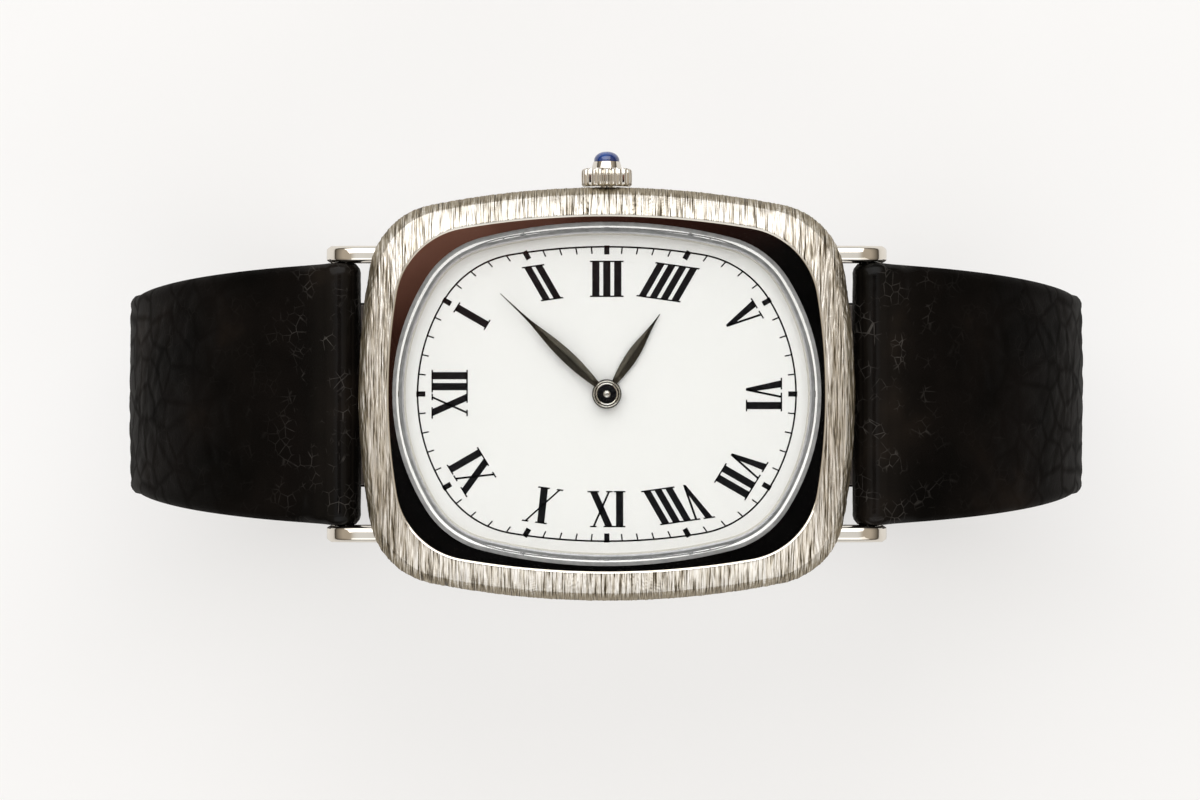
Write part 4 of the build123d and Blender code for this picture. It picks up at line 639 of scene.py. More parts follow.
def print_film(name, quads):
    """A thin film of ink from flat four-cornered strokes, each one started as a plane."""
    deselect()
    bpy.ops.mesh.primitive_plane_add(size=1)
    piece = bpy.context.object
    piece.name = piece.data.name = name
    bpy.ops.object.mode_set(mode="EDIT")
    for _ in quads[1:]:
        bpy.ops.mesh.primitive_plane_add(size=1)
    bpy.ops.object.mode_set(mode="OBJECT")
    places = np.zeros((len(piece.data.vertices), 3))
    for face, quad in zip(piece.data.polygons, quads):
        for vertex, (x, y) in zip(face.vertices, quad):
            places[vertex] = (x, y, DIAL_TOP + INK_HEIGHT)
    lay_out(piece, places)
    modify(piece, "SOLIDIFY", thickness=INK_HEIGHT * MM, offset=-1.0)
    heal(piece, smooth_angle=20, merge=INK_MERGE)
    dress(piece, ink_black, "case")
    print(name, "strokes", len(quads))


quads = []
for hour, word in enumerate(NUMERALS):
    clock_angle = hour * 30
    foot, head = dial_point(clock_angle, NUMERAL_INNER), dial_point(clock_angle, NUMERAL_OUTER)
    clockwise = (dial_point(clock_angle + 1, 0) - dial_point(clock_angle - 1, 0)).normalized()
    shift = NUMERAL_SHIFT.get(word, 0.0)
    for shape in numeral_strokes(word):
        quads.append(facing_up([foot + (head - foot) * v + clockwise * (u + shift) for u, v in shape]))
print_film("dial_numerals", quads)

# %% [markdown]
# ## Minute track
# A thin line runs round the dial inside its edge. Short hairlines mark the minutes inside it and bolder
# bars mark the hours, all of them pointing at the centre.

# %% Minute track and its ticks
TRACK_WIDTH = 0.11
TRACK_PIECES = 360
MINUTE_TICK = (0.09, 0.0, 0.45)
HOUR_TICK = (0.34, -0.09, 0.5)

quads = []
for step in range(TRACK_PIECES):
    a, b = step * 360 / TRACK_PIECES, (step + 1) * 360 / TRACK_PIECES
    half = TRACK_WIDTH / 2
    quads.append(facing_up([dial_point(*spot) for spot in ((a, -half), (b, -half), (b, half), (a, half))]))
for minute in range(60):
    width, start, end = HOUR_TICK if minute % 5 == 0 else MINUTE_TICK
    outer = dial_point(minute * 6, start)
    inward = -dial_point(minute * 6, 0).normalized()
    across = Vector((-inward.y, inward.x, 0)) * width / 2
    reach = inward * (end - start)
    quads.append(facing_up([outer - across, outer + across, outer + across + reach, outer - across + reach]))
print_film("dial_minute_track", quads)

# %% [markdown]
# ## Hands
# The leaf hands are blackened, polished steel. Each is filed to a ridge along its middle, so one side
# always catches more light than the other. The blade starts as a grid that is rolled into a slim tube with
# a ridge on top, and its hub is a turned ring that is joined to it.

# %% Leaf blades
HAND_THICKNESS = 0.15
SLIM_SHARE, FULL_WIDTH = 0.55, 0.5
SIDE_SHARE, RIDGE_SHARE = 0.35, 0.1
HUB_BEVEL, HUB_SEAT = 0.03, 0.1
TURNED_STATIONS = 96
MINUTE_HAND = dict(name="minute_hand_leaf", angle=43.3, bottom=4.80, hub=0.8, bore=0.6,
                   blade=((0.5, 0.30), (1.0, 0.44), (1.6, 0.60), (2.4, 0.76), (3.2, 0.83), (4.0, 0.80),
                          (4.8, 0.69), (5.6, 0.50), (6.3, 0.32), (6.9, 0.20), (7.6, 0.13), (8.5, 0.09),
                          (9.45, 0.05)))
HOUR_HAND = dict(name="hour_hand_leaf", angle=123.6, bottom=4.45, hub=0.95, bore=0.65,
                 blade=((0.6, 0.28), (1.0, 0.40), (1.5, 0.56), (2.1, 0.70), (2.7, 0.77), (3.3, 0.75),
                        (3.9, 0.62), (4.5, 0.42), (5.0, 0.26), (5.5, 0.15), (5.9, 0.09), (6.2, 0.05)))

hand_black = grained("blackened_steel", ((0.05, 0.05, 0.5), 2.0), ((0.3, "#322F29"), (0.7, "#4E4A41")),
                     (0.1, 0.22), Metallic=1.0)


def blade_rings(blade, bottom, turn):
    """Sections of a ridged leaf, each with six points, laid in its direction on the dial."""
    rings = []
    for out, width in blade:
        half = width / 2
        thick = HAND_THICKNESS * (SLIM_SHARE + (1 - SLIM_SHARE) * min(1.0, width / FULL_WIDTH))
        flank, ridge = thick * SIDE_SHARE, half * RIDGE_SHARE
        points = ((-half, 0), (half, 0), (half, flank), (ridge, thick), (-ridge, thick), (-half, flank))
        c, s = math.cos(turn), math.sin(turn)
        rings.append([(out * c - side * s, out * s + side * c, bottom + height) for side, height in points])
    return rings


def turned_ring(name, profile, smooth_angle):
    """A ring turned about Z: profile points are a radius and a height."""
    stations = [[(r * math.cos(t), r * math.sin(t), z) for r, z in profile] for t in turns(TURNED_STATIONS)]
    return ring_piece(name, stations, smooth_angle)


def make_hand(name, angle, bottom, hub, bore, blade, node):
    """A leaf hand with its hub, riding on its own body."""
    leaf = tube_piece(name, blade_rings(blade, bottom, math.pi - math.radians(angle)), smooth_angle=20)
    top = bottom + HAND_THICKNESS
    profile = ((hub, bottom), (hub, top - HUB_BEVEL), (hub - HUB_BEVEL, top), (bore + HUB_SEAT, top),
               (bore, top - HUB_BEVEL), (bore, bottom))
    disc = turned_ring(name + "_hub", profile, smooth_angle=30)
    pick(leaf)
    disc.select_set(True)
    bpy.ops.object.join()
    dress(leaf, hand_black, node, node)


make_hand(**MINUTE_HAND, node="minute_hand")
make_hand(**HOUR_HAND, node="hour_hand")

# %% [markdown]
# ## Hub of the hands
# The minute hand is pressed on its pipe. Two bright turned rings surround the seat, which lies sunk between
# them and is coloured with the black printing ink, and the tip of the centre arbor shows as a small bright
# point. The tops are rounded, because a flat one would mirror the dark card above the camera and look black.

# %% Bright rings, dark seat, bright point
bright_steel = grained("turned_bright_steel", (0.12, 3.0), ((0.3, "#B5B2AA"), (0.7, "#DAD7CF")), (0.08, 0.2),
                       Metallic=1.0)
RIM = ((0.88, 4.9), (0.88, 4.96), (0.865, 4.99), (0.825, 5.01), (0.785, 4.99), (0.77, 4.96), (0.77, 4.9))
RING = ((0.73, 4.955), (0.73, 4.99), (0.715, 5.035), (0.675, 5.055), (0.635, 5.035), (0.62, 4.99),
        (0.62, 4.955))
SEAT = ((0.8, 4.952), (0.8, 4.966), (0.5, 4.97), (0.22, 4.97), (0.2, 4.952))
POINT = ((0.23, 4.955), (0.23, 4.98), (0.2, 5.01), (0.14, 5.035), (0.07, 5.048), (0.01, 5.05), (0.01, 4.955))

for name, profile, finish in (("minute_hand_bright_rim", RIM, bright_steel),
                              ("minute_hand_bright_ring", RING, bright_steel),
                              ("minute_hand_dark_seat", SEAT, ink_black),
                              ("minute_hand_arbor_point", POINT, bright_steel)):
    dress(turned_ring(name, profile, smooth_angle=40), finish, "minute_hand")

# %% [markdown]
# ## Case and back
# Under the bezel the case tapers in. It is polished, and polishing rounds every edge a little. The solids
# already have the right form, so each is copied, its triangles are merged, and a small bevel breaks its
# edges as a polishing wheel does.

# %% Softened copies of solids
LUG_CUT_MIDDLE = (17.0, 9.15, 1.9)
LUG_CUT_SIZE = (4.06, 1.7, 3.3)
FLAT_ANGLE, BEVEL_ANGLE, SMOOTH_ANGLE = 1.0, 28, 32


def cut_lugs(piece):
    """Cuts the lugs off the case copy with four boxes, because they are modelled on their own."""
    deselect()
    x, y, z = LUG_CUT_MIDDLE
    for index, middle in enumerate(((-x, -y, z), (-x, y, z), (x, -y, z), (x, y, z))):
        if index:
            bpy.ops.object.mode_set(mode="EDIT")
        bpy.ops.mesh.primitive_cube_add(size=1.0, location=[value * MM for value in middle],
                                        scale=[value * MM for value in LUG_CUT_SIZE])
        if index:
            bpy.ops.object.mode_set(mode="OBJECT")
        else:
            boxes = bpy.context.object
            bpy.ops.object.transform_apply(location=True, rotation=True, scale=True)
    modify(piece, "BOOLEAN", object=boxes, operation="DIFFERENCE", solver="EXACT")
    bpy.data.objects.remove(boxes)


def softened(node, name, finish, body, width, segments, first=None):
    """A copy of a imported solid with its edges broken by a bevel. First is a cut that comes before it."""
    deselect()
    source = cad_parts[node]
    piece = source.copy()
    piece.data = source.data.copy()
    piece.name = piece.data.name = name
    piece.parent = None
    bpy.context.collection.objects.link(piece)
    for key in list(piece.keys()):
        del piece[key]
    edit_merged(piece)
    bpy.ops.mesh.dissolve_limited(angle_limit=math.radians(FLAT_ANGLE))
    bpy.ops.object.mode_set(mode="OBJECT")
    if first:
        first(piece)
    modify(piece, "BEVEL", width=width * MM, segments=segments, limit_method="ANGLE",
           angle_limit=math.radians(BEVEL_ANGLE), use_clamp_overlap=True, harden_normals=False)
    bpy.ops.object.shade_smooth_by_angle(angle=math.radians(SMOOTH_ANGLE))
    piece.data.materials.clear()
    dress(piece, finish, body, node)


softened("case_middle", "case_with_lugs", polished_gold, "case",
         width=0.1, segments=3, first=cut_lugs)
softened("case_back", "case_back_satin", satin_gold, "case", width=0.05, segments=2)

# %% [markdown]
# ## Lugs
# Each lug is a slim bar, polished all round, that leaves the case wall level and drops over its end in a
# soft curve. It is a tube whose rings stand between its upper and its lower line, with a rounded square
# section.

# %% Lugs
LUG_MIDDLE, LUG_HALF = 9.13, 0.57
LUG_TOP = ((14.4, 3.28), (16.526, 3.15), (18.0, 2.9), (18.36, 1.5))
LUG_BOTTOM = ((14.4, 0.62), (16.526, 0.62), (17.9, 0.64), (18.3, 1.15))
LUG_POWER = 0.5
LUG_STEPS, LUG_POINTS = 40, 32
NOSE_START, NOSE_NARROWING = 0.8, 0.35
STRAIGHT_SHARE = 1 / 3


def rounded(wave, power):
    """A sine or cosine pushed outwards, so that a circle turns into a rounded square."""
    return math.copysign(abs(wave) ** power, wave)


def bend_through(points, share):
    """A straight run for the first third, then a soft curve over the end."""
    (ax, az), (bx, bz), (cx, cz), (dx, dz) = points
    if share < STRAIGHT_SHARE:
        part = share / STRAIGHT_SHARE
        return ax + (bx - ax) * part, az + (bz - az) * part
    t = (share - STRAIGHT_SHARE) / (1 - STRAIGHT_SHARE)
    u = 1 - t
    return u * u * bx + 2 * u * t * cx + t * t * dx, u * u * bz + 2 * u * t * cz + t * t * dz


def lug_rings():
    """Rings of one lug from inside the case wall to its tip."""
    rings = []
    for k in range(LUG_STEPS + 1):
        share = k / LUG_STEPS
        (tx, tz), (bx, bz) = bend_through(LUG_TOP, share), bend_through(LUG_BOTTOM, share)
        half = LUG_HALF * (1 - NOSE_NARROWING * max(0.0, share - NOSE_START) / (1 - NOSE_START))
        ring = []
        for turn in turns(LUG_POINTS):
            up = (1 + rounded(math.sin(turn), LUG_POWER)) / 2
            across = half * rounded(math.cos(turn), LUG_POWER)
            ring.append((bx + (tx - bx) * up, LUG_MIDDLE + across, bz + (tz - bz) * up))
        rings.append(ring)
    return np.array(rings)


for word, x_way, y_way in (("6_crown", 1, 1), ("6_plain", 1, -1), ("12_crown", -1, 1), ("12_plain", -1, -1)):
    lug = tube_piece("lug_" + word, lug_rings() * np.array((x_way, y_way, 1)), smooth_angle=40)
    dress(lug, polished_gold, "case")

# %% [markdown]
# ## Crown
# The crown is turned from white gold, and round flutes are milled into its rim for the fingers. A narrow
# collar carries a domed blue stone. A grid rolled round the stem's axis gives the crown, with the flutes'
# depth fading out at both ends, and a second one gives the stone.

# %% Turned pieces about the stem
FLUTES, FLUTE_DEPTH, FLUTE_POINTS = 22, 0.15, 10
CROWN_PROFILE = ((13.515, 1.2, 0.0), (13.515, 1.4, 0.0), (13.53, 1.5, 0.3), (13.58, 1.6, 0.9),
                 (13.66, 1.65, 1.0), (13.9, 1.665, 1.0), (14.3, 1.665, 1.0), (14.55, 1.65, 1.0),
                 (14.63, 1.6, 0.9), (14.69, 1.5, 0.3), (14.706, 1.38, 0.0), (14.71, 1.04, 0.0),
                 (14.73, 1.0, 0.0), (14.8, 0.97, 0.0), (15.0, 0.91, 0.0), (15.1, 0.88, 0.0),
                 (15.15, 0.87, 0.0), (15.17, 0.82, 0.0), (15.15, 0.75, 0.0), (15.0, 0.66, 0.0))
STONE_START, STONE_TIP, STONE_RADIUS = 15.06, 15.82, 0.83
STONE_GIRDLE, STONE_POINTS = 0.16, 64
STONE_STEPS, STONE_STEP_ANGLE, STONE_FULLNESS = 13, 7, 0.9
STONE_FOOT = ((0.0, 0.5), (0.03, 0.76), (0.1, 0.82))

blue_stone = grained("blue_cabochon_stone", (0.9, 3.0),
                     ((0.3, "#0A2460"), (0.55, "#153C84"), (0.75, "#2456A4")), (0.02, 0.06),
                     IOR=1.72, Coat_Weight=0.3, Coat_Roughness=0.02)


def about_stem(profile, count):
    """Rings about the stem's axis: a profile point is a place along Y, a radius and a share of the flutes."""
    rings = []
    for y, radius, share in profile:
        ring = []
        for turn in turns(count):
            wave = ((1 + math.cos(FLUTES * turn)) / 2) ** 2
            reach = radius - FLUTE_DEPTH * share * wave
            ring.append((reach * math.cos(turn), y, STEM_HEIGHT + reach * math.sin(turn)))
        rings.append(ring)
    return rings


crown = tube_piece("crown_fluted", about_stem(CROWN_PROFILE, FLUTES * FLUTE_POINTS), smooth_angle=35)
dress(crown, polished_gold, "stem_and_crown", "crown")

girdle = STONE_START + STONE_GIRDLE
stone_profile = [(STONE_START + rise, radius, 0) for rise, radius in STONE_FOOT]
for step in range(STONE_STEPS):
    turn = math.radians(STONE_STEP_ANGLE * step)
    height = girdle + (STONE_TIP - girdle) * math.sin(turn)
    stone_profile.append((height, STONE_RADIUS * math.cos(turn) ** STONE_FULLNESS, 0))
stone = tube_piece("crown_stone", about_stem(stone_profile, STONE_POINTS), smooth_angle=60)
dress(stone, blue_stone, "stem_and_crown", "crown_cabochon")

# %% [markdown]
# ## Leather
# The strap is black calf, pressed with low scales and glazed with a glass roller. Its larger scales are
# part of the mesh. The material adds fine pores and the creases between the scales, a little brown where
# the dye has rubbed thin, and pale scuffs in patches beside the spring bar, where the leather bends most.
# The glaze is still glossy over the rolled end and worn dull further along. The chart's X is the length
# along the strap.

# %% Glazed black leather and its lining
SCALE = 2.4
CREASE = SCALE * 0.28
SCUFF_COLOUR = linear("#514E4B")


def crease_distance(material, chart, size):
    """How far each place is from the nearest crease of a pattern of scales on the strap's chart."""
    return add(material, "ShaderNodeTexVoronoi", {"Vector": chart}, Scale=1 / size,
               feature="DISTANCE_TO_EDGE").outputs["Distance"]


black_leather = new_material("glazed_black_leather", Specular_IOR_Level=0.02, Coat_Roughness=0.15)
chart = add(black_leather, "ShaderNodeUVMap").outputs["UV"]
along = add(black_leather, "ShaderNodeSeparateXYZ", {"Vector": chart}).outputs["X"]
scales, creases = (crease_distance(black_leather, chart, size) for size in (SCALE, CREASE))
rubbed = grain(black_leather, 6.0, 3.0)
tint = ramp(black_leather, rubbed, ((0.35, "#070605"), (0.6, "#0F0C0A"), (0.75, "#1A1511")))
near_bar = band(black_leather, along, (0.5, 5.0), (1.0, 0.1))
cracks = band(black_leather, creases, (0.0, 0.05), (1.0, 0.0))
worn = band(black_leather, grain(black_leather, 1.6, 4.0), (0.5, 0.75), (0.0, 1.0))
scuffs = maths(black_leather, "MULTIPLY", maths(black_leather, "MULTIPLY", cracks, worn), near_bar)
scuffed = add(black_leather, "ShaderNodeMix", {0: scuffs, 6: tint}, data_type="RGBA")
scuffed.inputs[7].default_value = SCUFF_COLOUR
colour(black_leather, scuffed.outputs[2])
glaze = band(black_leather, along, (0.6, 3.0), (0.22, 0.01))
plug(black_leather, glaze, principled(black_leather).inputs["Coat Weight"])
seams = band(black_leather, scales, (0.0, 0.12), (0.0, 1.0))
pores = maths(black_leather, "ADD", band(black_leather, creases, (0.0, 0.12), (0.0, 1.0)),
              grain(black_leather, 0.25, 4.0))
gloss(black_leather, seams, 0.75, 0.55)
relief(black_leather, seams, 0.4, 0.03, relief(black_leather, pores, 0.25, 0.02))

lining_leather = grained("suede_calf_lining", (0.3, 5.0), ((0.3, "#2A2421"), (0.7, "#3D3530")),
                         bump=(0.5, 0.05), Roughness=0.85, Sheen_Weight=0.3)

# %% [markdown]
# ## The strap's way round the wrist
# Seen from the side, each half leaves its spring bar on a slope, rounds the wrist in two arcs and runs flat
# below. The way is walked like a path of straights and turns. At any length along it there is a place, a
# heading and the strap's half width there.

# %% Walk the strap's way
BAR_X, BAR_Z = 17.526, 1.7
FIRST_SLOPE = -25
WIDE, NARROW = 8.5, 6.9
NARROW_Z = -13.5
LAYER_Z = -37.275
TIP_ROUND, TIP_FULLNESS, TIP_REST = 6.5, 0.98, 0.0004


def arc(degrees, radius):
    """A run that turns by an angle, upwards if it is above nought, at a radius."""
    return (math.radians(abs(degrees)) * radius, degrees)


WRIST_WAY = ((2.0, 0.0), arc(-65, 23.31), arc(-90, 17.0))
TIP_WAY = WRIST_WAY + ((7.43, 0.0), arc(32, 7.24), arc(-32, 7.24), (16.5, 0.0), arc(-22, 19.2))
BUCKLE_WAY = WRIST_WAY + ((16.797, 0.0),)


def walk(way, length):
    """Place and normal after a length along a way of runs, each a length and a turn in degrees."""
    x, z, heading = BAR_X, BAR_Z, math.radians(FIRST_SLOPE)
    for run, turn in way:
        part = min(length, run)
        if turn:
            radius = run / math.radians(turn)
            swing = part / radius
            x += radius * (math.sin(heading + swing) - math.sin(heading))
            z -= radius * (math.cos(heading + swing) - math.cos(heading))
            heading += swing
        else:
            x += part * math.cos(heading)
            z += part * math.sin(heading)
        length -= part
        if length <= 0:
            break
    return (x, z), (-math.sin(heading), math.cos(heading))


def half_width(z, left):
    """Half the strap's width: it narrows evenly down to the wrist, and its tip is round."""
    share = min(1.0, max(0.0, (BAR_Z - z) / (BAR_Z - NARROW_Z)))
    return (WIDE + (NARROW - WIDE) * share) * tip_share(left)


def tip_share(left):
    """How much of the width is there this far before the strap's tip. It never quite closes."""
    if left >= TIP_ROUND:
        return 1.0
    return math.sqrt(max(0.0, 1 - (1 - left / TIP_ROUND) ** 2) * TIP_FULLNESS + TIP_REST)


TIP_LENGTH = sum(run for run, _ in TIP_WAY)
BUCKLE_LENGTH = sum(run for run, _ in BUCKLE_WAY)
print("strap way ends at", [round(v, 3) for v in walk(TIP_WAY, TIP_LENGTH)[0]], "mm")

# %% [markdown]
# ## Leather sections
# Every ring of the strap is one closed section: across the top, round one edge, back underneath and round
# the other edge. The top is crowned, with a pressed line one millimetre inside each edge. Near the bar the
# rings turn about the bar, so the leather wraps it, and a step marks where the folded end is skived and
# glued.

# %% Section and relief
ACROSS, BACK_STEPS, EDGE_POINTS = 60, 8, 5
LINE_PLACE, LINE_WIDTH, LINE_DEPTH = 1.0, 0.22, 0.07
CROWN_RISE, EDGE_DROP, EDGE_WIDTH, EDGE_SWELL = 0.12, 0.3, 0.55, 0.06
SCALE_DEPTH, SCALE_LENGTH, SCALE_SEAM = 0.07, 1.25, 0.28
SCALE_DRIFT, SCALE_VARIETY, SCALE_LAYER = 9, 0.5, 5
WRINKLE_DEPTH, WRINKLE_LENGTH, WRINKLE_WIDTH, WRINKLE_LAYER = 0.03, 1.8, 0.7, 2.0
PLAIN_EDGE, PLAIN_FADE = 0.5, 0.8
TOP_SINK = 0.05
BACK_OF_CHART = 40
PLAIN_SIDE_POWER, PLAIN_FACE_POWER = 0.3, 0.4


def scale_relief(length, y):
    """Height of the pressed scales: low between them, flat on top of them."""
    drift = noise.noise(Vector((length / SCALE_DRIFT, y / SCALE_DRIFT, SCALE_LAYER)))
    stretch = 1.0 + SCALE_VARIETY * drift
    spot = Vector((length / (SCALE * SCALE_LENGTH * stretch), y / SCALE, 0.0))
    distances, _ = noise.voronoi(spot)
    gap = distances[1] - distances[0]
    wrinkle = noise.noise(Vector((length / WRINKLE_LENGTH, y / WRINKLE_WIDTH, WRINKLE_LAYER)))
    return SCALE_DEPTH * (min(1.0, gap / SCALE_SEAM) - 1) + WRINKLE_DEPTH * wrinkle


def section(centre, normal, half, top, bottom, length, pressed):
    """One closed ring of the leather and its chart places. Pressed is the share of the relief that it has."""
    marks = []
    for k in range(ACROSS + 1):
        y = -half + 2 * half * k / ACROSS
        edge = half - abs(y)
        rise = CROWN_RISE * (1 - (y / half) ** 2) - TOP_SINK
        line = LINE_DEPTH * math.exp(-(((edge - LINE_PLACE) / LINE_WIDTH) ** 2))
        scales = scale_relief(length, y) * min(1.0, max(0.0, (edge - PLAIN_EDGE) / PLAIN_FADE))
        drop = EDGE_DROP * max(0.0, 1 - edge / EDGE_WIDTH) ** 2
        marks.append((y, top + (rise - line + scales) * pressed - drop, y))
    shares = [k / EDGE_POINTS for k in range(1, EDGE_POINTS)]
    low_edge = top - EDGE_DROP
    for share in shares:
        swell = EDGE_SWELL * math.sin(math.pi * share)
        marks.append((half + swell, low_edge + (bottom - low_edge) * share, half + share))
    for k in range(BACK_STEPS + 1):
        y = half - 2 * half * k / BACK_STEPS
        marks.append((y, bottom, y + BACK_OF_CHART))
    for share in shares:
        swell = EDGE_SWELL * math.sin(math.pi * share)
        marks.append((-half - swell, bottom + (low_edge - bottom) * share, -half - share))
    return laid(centre, normal, length, marks)


def laid(centre, normal, length, marks):
    """A ring's points and chart places from marks, each a place across, a height and a chart place across."""
    points = [(centre[0] + normal[0] * height, y, centre[1] + normal[1] * height) for y, height, _ in marks]
    return points, [(length, mark) for _, _, mark in marks]


def plain_section(centre, normal, low_y, high_y, top, bottom, length, count):
    """A rounded closed ring between two widths, without scales."""
    marks = []
    for turn in turns(count):
        y = (low_y + high_y) / 2 + (high_y - low_y) / 2 * rounded(math.cos(turn), PLAIN_SIDE_POWER)
        height = (top + bottom) / 2 + (top - bottom) / 2 * rounded(math.sin(turn), PLAIN_FACE_POWER)
        marks.append((y, height, y))
    return laid(centre, normal, length, marks)


def smoothly(share):
    """A soft step from nought to one."""
    share = min(1.0, max(0.0, share))
    return share * share * (3 - 2 * share)


def leather_piece(name, sections, way, finish, node=None):
    """A leather tube with its chart and its finish, on one side of the case, which hides the solid it stands
    for.
    """
    rings, charts = (np.array(part) for part in zip(*sections))
    piece = tube_piece(name, rings * np.array((way, way, 1.0)), smooth_angle=50, uv=charts)
    dress(piece, finish, "case", node)


# %% Leather halves
ROLL, BORE = 1.45, 0.78
HALF_STRAP, LAYER_SPLIT = 0.95, -0.25
TOP_GAP = 0.02
STEP_START, STEP_END, STEP_DIP = 0.7, 3.0, 0.1
FOLD_LENGTH = 1.2
ROLL_PRESSED = 0.25
WRAP_START, WRAP_TURN, WRAP_RINGS = 65, 172, 30
RING_PITCH = 0.28
NOTCH_START = 2.2
SIX_SIDE, TWELVE_SIDE = 1.0, -1.0
NO_TIP = 1000.0


def leather_sections(way, total, tip):
    """Rings of a strap half: a wrap about the spring bar and then along its way. Tip is the tip's place."""
    sections = []
    for k in range(WRAP_RINGS):
        wrap = math.radians(WRAP_TURN) * (1 - k / WRAP_RINGS)
        turn = math.radians(WRAP_START) + wrap
        sections.append(section((BAR_X, BAR_Z), (math.cos(turn), math.sin(turn)), WIDE, ROLL - TOP_GAP, BORE,
                                -ROLL * wrap, ROLL_PRESSED))
    count = int(total / RING_PITCH)
    for k in range(count + 1):
        length = total * k / count
        centre, normal = walk(way, length)
        step = smoothly((length - STEP_START) / (STEP_END - STEP_START))
        dipped = ROLL - STEP_DIP * min(1.0, length / STEP_START)
        top = dipped + (HALF_STRAP - TOP_GAP - ROLL + STEP_DIP) * step
        bottom = BORE + (LAYER_SPLIT - BORE) * smoothly(length / FOLD_LENGTH)
        sections.append(section(centre, normal, half_width(centre[1], tip - length), top, bottom, length,
                                ROLL_PRESSED + (1 - ROLL_PRESSED) * step))
    return sections


sections = leather_sections(TIP_WAY, TIP_LENGTH, TIP_LENGTH)
leather_piece("strap_tip_leather", sections, SIX_SIDE, black_leather, "strap_tip_half")
sections = leather_sections(BUCKLE_WAY, BUCKLE_LENGTH - NOTCH_START, NO_TIP)
leather_piece("strap_buckle_leather", sections, TWELVE_SIDE, black_leather,
              "strap_buckle_half")

# %% [markdown]
# ## Folded ends and linings
# At the buckle the leather is split round the tongue, and each side folds over the bar. Both halves are
# lined with a thinner soft calf on the wrist's side.

# %% Fold over the buckle bar
NOTCH_HALF = 1.0
BUCKLE_BAR_X = 1.0
FLAT_STEPS, FOLD_STEPS, FOLD_POINTS = 8, 16, 24
FLAT_CHART, FOLD_CHART = 80, 90
FOLD_BOTTOM, FLAT_BOTTOM = 0.03, 0.1 - HALF_STRAP

for side, word in ((-1, "crown_side"), (1, "plain_side")):
    low_y, high_y = sorted((side * NOTCH_HALF, side * NARROW))
    sections = []
    for k in range(FLAT_STEPS + 1):
        x = -BUCKLE_BAR_X + NOTCH_START * (1 - k / FLAT_STEPS)
        sections.append(plain_section((x, LAYER_Z), (0, -1), low_y, high_y, HALF_STRAP, FLAT_BOTTOM,
                                      FLAT_CHART + k, FOLD_POINTS))
    for k in range(1, FOLD_STEPS):
        turn = math.radians(-90 - 180 * k / FOLD_STEPS)
        normal = (math.cos(turn), math.sin(turn))
        sections.append(plain_section((-BUCKLE_BAR_X, LAYER_Z), normal, low_y, high_y, HALF_STRAP,
                                      FOLD_BOTTOM, FOLD_CHART + k, FOLD_POINTS))
    leather_piece("strap_buckle_fold_" + word, sections, TWELVE_SIDE, black_leather)

# %% Linings
LINING_START, LINING_TUCK, LINING_GAP, LINING_SHORT = 1.4, 0.12, 0.01, 0.05
LINING_POINTS = 40


def lining_sections(way, end, tip):
    """Rings of the lining under a strap half, a little narrower than the leather, about one a millimetre."""
    sections = []
    count = int(end - LINING_START)
    for k in range(count + 1):
        length = LINING_START + (end - LINING_START) * k / count
        centre, normal = walk(way, length)
        half = half_width(centre[1], NO_TIP) - LINING_TUCK
        half *= tip_share(tip - length)
        sections.append(plain_section(centre, normal, -half, half, LAYER_SPLIT - LINING_GAP, -HALF_STRAP,
                                      length, LINING_POINTS))
    return sections


sections = lining_sections(TIP_WAY, TIP_LENGTH - LINING_SHORT, TIP_LENGTH)
leather_piece("strap_tip_suede", sections, SIX_SIDE, lining_leather, "strap_tip_lining")
sections = lining_sections(BUCKLE_WAY, BUCKLE_LENGTH - NOTCH_START, NO_TIP)
leather_piece("strap_buckle_suede", sections, TWELVE_SIDE, lining_leather,
              "strap_buckle_lining")

# %% [markdown]
# ## Keepers
# Two leather loops hold the strap's end. Each is a flat strip of the same leather bent round both layers,
# so a grid is rolled into a ring along a rounded rectangle, with a flat rounded section.

# %% Keepers
KEEPER_LOW, KEEPER_HIGH, KEEPER_HALF = -41.175, -35.575, 7.75
KEEPER_THICK, KEEPER_WIDE, KEEPER_ROUND = 0.55, 4.0, 0.95
KEEPER_STATIONS, KEEPER_POINTS = 160, 28
KEEPER_SIDE_POWER, KEEPER_FACE_POWER = 0.25, 0.5
SEWN_X, SLIDING_X = -4.0, -10.5
GROOVE_DEPTH, GROOVE_PLACE, GROOVE_WIDTH = 0.05, 0.7, 0.2
GRAIN_DEPTH = 0.01


def loop_place(share):
    """A place and an outward direction on the keeper's middle line, a rounded rectangle in Y and Z."""
    half_y = KEEPER_HALF - KEEPER_THICK / 2 - KEEPER_ROUND
    half_z = (KEEPER_HIGH - KEEPER_LOW) / 2 - KEEPER_THICK / 2 - KEEPER_ROUND
    middle = (KEEPER_HIGH + KEEPER_LOW) / 2
    quarter = KEEPER_ROUND * math.pi / 2
    runs = (2 * half_z, quarter, 2 * half_y, quarter) * 2
    corners = ((half_y, half_z), (-half_y, half_z), (-half_y, -half_z), (half_y, -half_z))
    left, index = share * sum(runs), 0
    while left > runs[index] and index < len(runs) - 1:
        left -= runs[index]
        index += 1
    side, is_arc = divmod(index, 2)
    turn = math.radians(90 * side) + (left / KEEPER_ROUND if is_arc else 0.0)
    ny, nz = math.cos(turn), math.sin(turn)
    cy, cz = corners[side] if is_arc else corners[side - 1]
    slide = 0.0 if is_arc else left
    return cy + KEEPER_ROUND * ny - nz * slide, middle + cz + KEEPER_ROUND * nz + ny * slide, ny, nz


